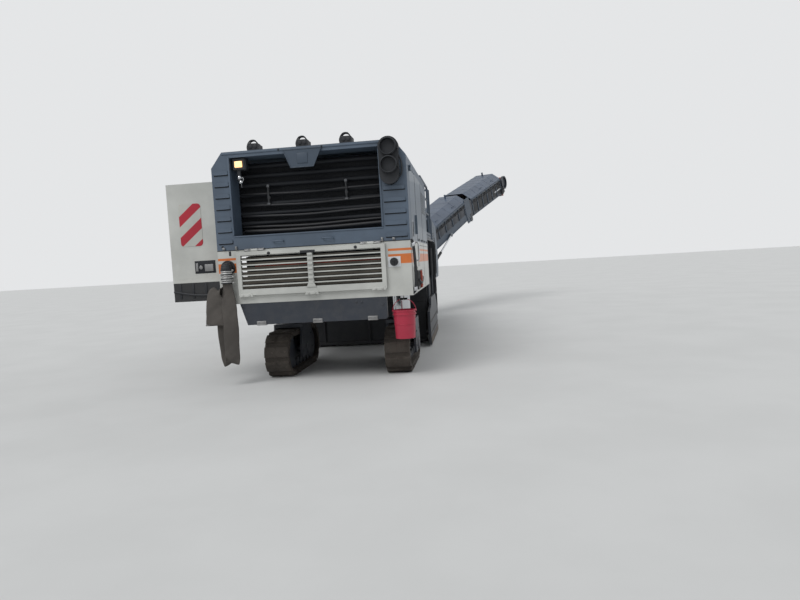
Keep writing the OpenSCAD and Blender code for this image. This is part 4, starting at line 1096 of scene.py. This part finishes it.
def cushion(size, n=5.0, crown=0.3, channels=2, cuts=15):
    """A stuffed form: rounded, crowned, pulled in between its corners, with sewn channels along it."""
    bm = bmesh.new()
    bmesh.ops.create_cube(bm, size=2)
    bmesh.ops.subdivide_edges(bm, edges=bm.edges[:], cuts=cuts, use_grid_fill=True)
    for v in bm.verts:
        x, y, z = v.co
        length = (abs(x) ** n + abs(y) ** n + abs(z) ** n) ** (1 / n)
        x, y, z = x / length, y / length, z / length
        height = 1 - crown + crown * (1 - x * x) * (1 - y * y)
        pull = 1 - 0.035 * (1 - (y * y if abs(x) > abs(y) else x * x))
        seam = 0.0
        for k in range(1, channels + 1):
            seam += exp(-(((x - (-1 + 2 * k / (channels + 1))) / 0.045) ** 2))
        dent = 0.1 * seam * (abs(y) < 0.9) * (z > 0)
        welt = 0.045 * exp(-((z / 0.12) ** 2))
        v.co = Vector((x * (pull - welt) * size[0], y * (pull - welt) * size[1], (z * height - dent) * size[2]))
    return bm


def seat_details():
    for side in (-1, 1):
        word = "left" if side < 0 else "right"
        place = shift(side * 800, 420, 0)
        base = Form(place)
        base.rod((0, 0, FLOOR_Z), (0, 0, FLOOR_Z + 420), 58, sides=28)
        base.turned((0, 0, FLOOR_Z), ABOVE, [(0, 0), (104, 0), (104, 12), (60, 22), (0, 22)], 36)
        base.bolt_circle((0, 0, FLOOR_Z + 12), ABOVE, 86, 6, 8)
        base.box((-215, 215), (-205, 225), (FLOOR_Z + 420, FLOOR_Z + 446), 8)
        # the back's plate leans by 4 degrees about its lower rear edge
        lean = shift(0, -262, FLOOR_Z + 470) @ turn("X", 4) @ shift(0, 262, -FLOOR_Z - 470)
        base.box((-200, 200), (-262, -236), (FLOOR_Z + 470, FLOOR_Z + 1010), 8, matrix=lean)
        base.piece("seat_base_" + word, "black")
        low = Form(place)
        low.add(cushion((234, 232, 56)), shift(0, 12, FLOOR_Z + 487))
        seat = low.piece("seat_cushion_" + word, "seat", angle=60)
        high = Form(place)
        high.add(cushion((214, 268, 50)), shift(0, -205, FLOOR_Z + 775) @ turn("X", 84))
        back = high.piece("seat_back_" + word, "seat", angle=60)
        if side < 0:
            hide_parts("operator_seats")
        piping = Form(place)
        piping.tube([(232 * c, 12 + 230 * s, FLOOR_Z + 487) for c, s in rounded_square(5.0)], 4, 8, closed=True)
        piping.piece("seat_piping_" + word, "seat")


def rounded_square(n):
    """Points on the unit superellipse that a cushion's welt follows."""
    out = []
    for k in range(48):
        a = 2 * pi * k / 48
        c, s = cos(a), sin(a)
        length = (abs(c) ** n + abs(s) ** n) ** (1 / n)
        out.append((c / length * 0.93, s / length * 0.93))
    return out


# Sides, drum and underside

def side_details():
    seams, fittings = forms(2)
    for side in (-1, 1):
        for y in (-2790, -1760):
            seams.raised(side, HALF_W, 2, (y, y + 8), (1080, 2680), 1)
        seams.raised(side, HALF_W, 2, (-2790, -760), (1700, 1707), 1)
        for y in (-2600, -2080, -1540, -1020):
            fittings.raised(side, HALF_W, 9, (y, y + 120), (1765, 1800), 4)
            for dy in (24, 96):
                fittings.bolt((side * (HALF_W + 9), y + dy, 1782), (side, 0, 0), 8)
        for i in range(9):
            seams.raised(side, HALF_W, 3, (-1640, -900), (2240 + i * 38, 2252 + i * 38), 1)
    seams.piece("side_seams_and_vents", "black")
    fittings.piece("side_hinges", "dull_steel")
    pipes, ends = forms(2)
    # hoses that drop down the right rear corner: y, outward, top, bottom, radius
    for y, out, top, low, r in ((-3862, 22, 1690, 1075, 11), (-3826, 30, 1700, 1080, 13), (-3786, 22, 1640, 1072, 9)):
        x = HALF_W + out
        pipes.bend([(1246, y, top + 60), (x, y, top), (x + 14, y + 6, (top + low) / 2), (x, y, low + 60),
                    (1246, y + 4, low)], 7, r, 12)
        for z in (top, low + 60):
            ends.hose_end((x, y, z), r + 5, 22, 6)
    pipes.piece("corner_hoses", "black")
    ends.piece("corner_hose_ends", "chrome")


def milling_details():
    for side, name, body in ((-1, "left", "plate_left"), (1, "right", "plate_right")):
        plate = Form()
        for y in range(-1000, 1001, 250):
            for z in (230, 420):
                plate.bolt((side * 1260, y, z), (side, 0, 0), 13, 9)
        plate.raised(side, 1260, 9, (-1080, 1080), (40, 150), 4)
        plate.piece("side_plate_wear_" + name, "tool", body)
    caps = Form()
    for side in (-1, 1):
        x = 120 + side * 1010
        caps.turned((x, 0, 540), (side, 0, 0), [(0, 0), (330, 0), (330, 6), (300, 12), (0, 14)], 48)
    caps.piece("drum_end_discs", "tool", "drum")


def bucket_details():
    grip = Form()
    x, y, z = 1115, REAR + 76, 1015
    grip.rod((x - 52, y, z), (x + 52, y, z), 13, sides=20, round_by=4)
    grip.piece("bucket_grip", "white", slot="steel")
    ears = Form()
    for side in (-1, 1):
        ears.turned((x + side * 146, y, 868), (side, 0, 0), [(0, 0), (15, 0), (15, 6), (8, 10), (0, 10)], 20)
    ears.turned((x, y, 700), ABOVE, [(131, -6), (136, -4), (136, 4), (131, 6)], 40)
    ears.piece("bucket_ears", "bucket")


def right_corner_details():
    # a dark box of painted shade where the right door's slot is
    Form().box((1262, 1268), (-3560, -3520), (1800, 1990), 8, 3).piece("right_door_slot", "recess", "door_right")
    hoop = Form()
    hoop.bend([(1266, -3420, 1490), (1306, -3422, 1500), (1312, -3422, 1600), (1306, -3422, 1716),
               (1266, -3420, 1728)], 6, 10, 12)
    for z in (1490, 1728):
        hoop.turned((1267, -3420, z), (1, 0, 0), [(0, 0), (22, 0), (22, 8), (12, 12), (0, 12)], 24)
    hoop.piece("right_door_hoop", "chrome", "door_right")
    marker = Form()
    marker.box((1290, 1322), (-3240, -3150), (1120, 1350), 10, 3)
    for z in range(1150, 1330, 30):
        marker.box((1321, 1325), (-3232, -3158), (z, z + 14), 2)
    marker.piece("right_marker_lamp", "red_bar", "door_right")
    # lines that climb from the side plate's cylinders to the deck
    lines, ends = forms(2)
    for side in (-1, 1):
        for k in range(4):
            y = -668 + k * 34
            x = side * (1112 + (k % 2) * 12)
            lines.bend([(x, y, 1893), (x + side * 8, y + 6, 1990), (x, y - 4, 2080),
                        (x + side * 8, y, 2180 + 60 * k)], 6, 11 + (k % 3) * 2, 10)
            for z in (1925, 2150):
                ends.hose_end((x + side * 4, y, z), 19, 24, 8)
        ends.turned((side * 1100, -500, 2085), ABOVE,
                    [(0, -190), (26, -190), (26, 120), (34, 124), (34, 160), (14, 190), (0, 190)], 28)
        ends.box(span(side * 1070, side * 1130), (-530, -470), (1894, 1902), 3)
    lines.piece("deck_hoses", "black")
    ends.piece("deck_hose_fittings", "chrome")


def roof_seam_details():
    seams = Form()
    for y in (-3080, -2320, -1560):
        seams.box((-1130, 1130), (y, y + 7), (ROOF_Z - 1, ROOF_Z + 3.5), 1)
    for x in (-420, 420):
        seams.box((x, x + 6), (-3560, -780), (ROOF_Z - 1, ROOF_Z + 3.5), 1)
    seams.piece("roof_seams", "black")
    plates = Form()
    for x0, x1, y0, y1 in ((-900, -520, -2920, -2480), (-900, -520, -2160, -1720), (520, 900, -2920, -2480)):
        for i in range(11):
            y = y0 + (y1 - y0) * i / 10
            plates.box((x0, x1), (y - 8, y + 8), (ROOF_Z, ROOF_Z + 14), 4)
        for x in (x0 - 22, x1 + 6):
            plates.box((x, x + 16), (y0 - 26, y1 + 26), (ROOF_Z, ROOF_Z + 10), 3)
    for x, y in ((-1060, -3500), (1060, -3500), (-1060, -900), (1060, -900)):
        plates.ring((x, y, ROOF_Z + 28), (0, 1, 0), 34, 20, 14, 28)
        plates.box((x - 40, x + 40), (y - 26, y + 26), (ROOF_Z, ROOF_Z + 8), 3)
    plates.turned((0, -1160, ROOF_Z), ABOVE, [(0, 0), (92, 0), (92, 10), (74, 18), (74, 34), (60, 42), (0, 42)], 40)
    plates.piece("roof_vents_and_eyes", "hood")


def front_details():
    seams, fittings = forms(2)
    for side in (-1, 1):
        seams.raised(side, FRONT_HALF_W, 2, (2380, 2387), (1100, 2200), 1)
        seams.raised(side, FRONT_HALF_W, 2, (1740, 3100), (1690, 1697), 1)
        for i in range(8):
            seams.raised(side, FRONT_HALF_W, 3, (1800, 2260), (1780 + i * 36, 1792 + i * 36), 1)
        for y, z in ((1840, 1640), (2200, 1640), (2500, 1640), (3000, 1640)):
            fittings.raised(side, FRONT_HALF_W, 9, (y, y + 110), (z, z + 34), 4)
        fittings.raised(side, FRONT_HALF_W, 12, (2420, 2450), (1800, 1960), 5)
    seams.piece("front_seams_and_vents", "black")
    fittings.piece("front_hinges", "dull_steel")


DETAILS = [hood_details, intake_details, lamp_details, roof_details, badge_details, exhaust_details,
           lower_details, bumper_details, door_details, hose_details, track_details, conveyor_details,
           fold_details, head_details, platform_details, console_details, seat_details, side_details,
           milling_details, bucket_details, right_corner_details, roof_seam_details, front_details]

make_camera()
make_world()
make_light()
make_ground()
make_finishes()
dress_nodes()
for add_details in DETAILS:
    add_details()

scene = bpy.context.scene
scene.view_settings.view_transform = "Standard"
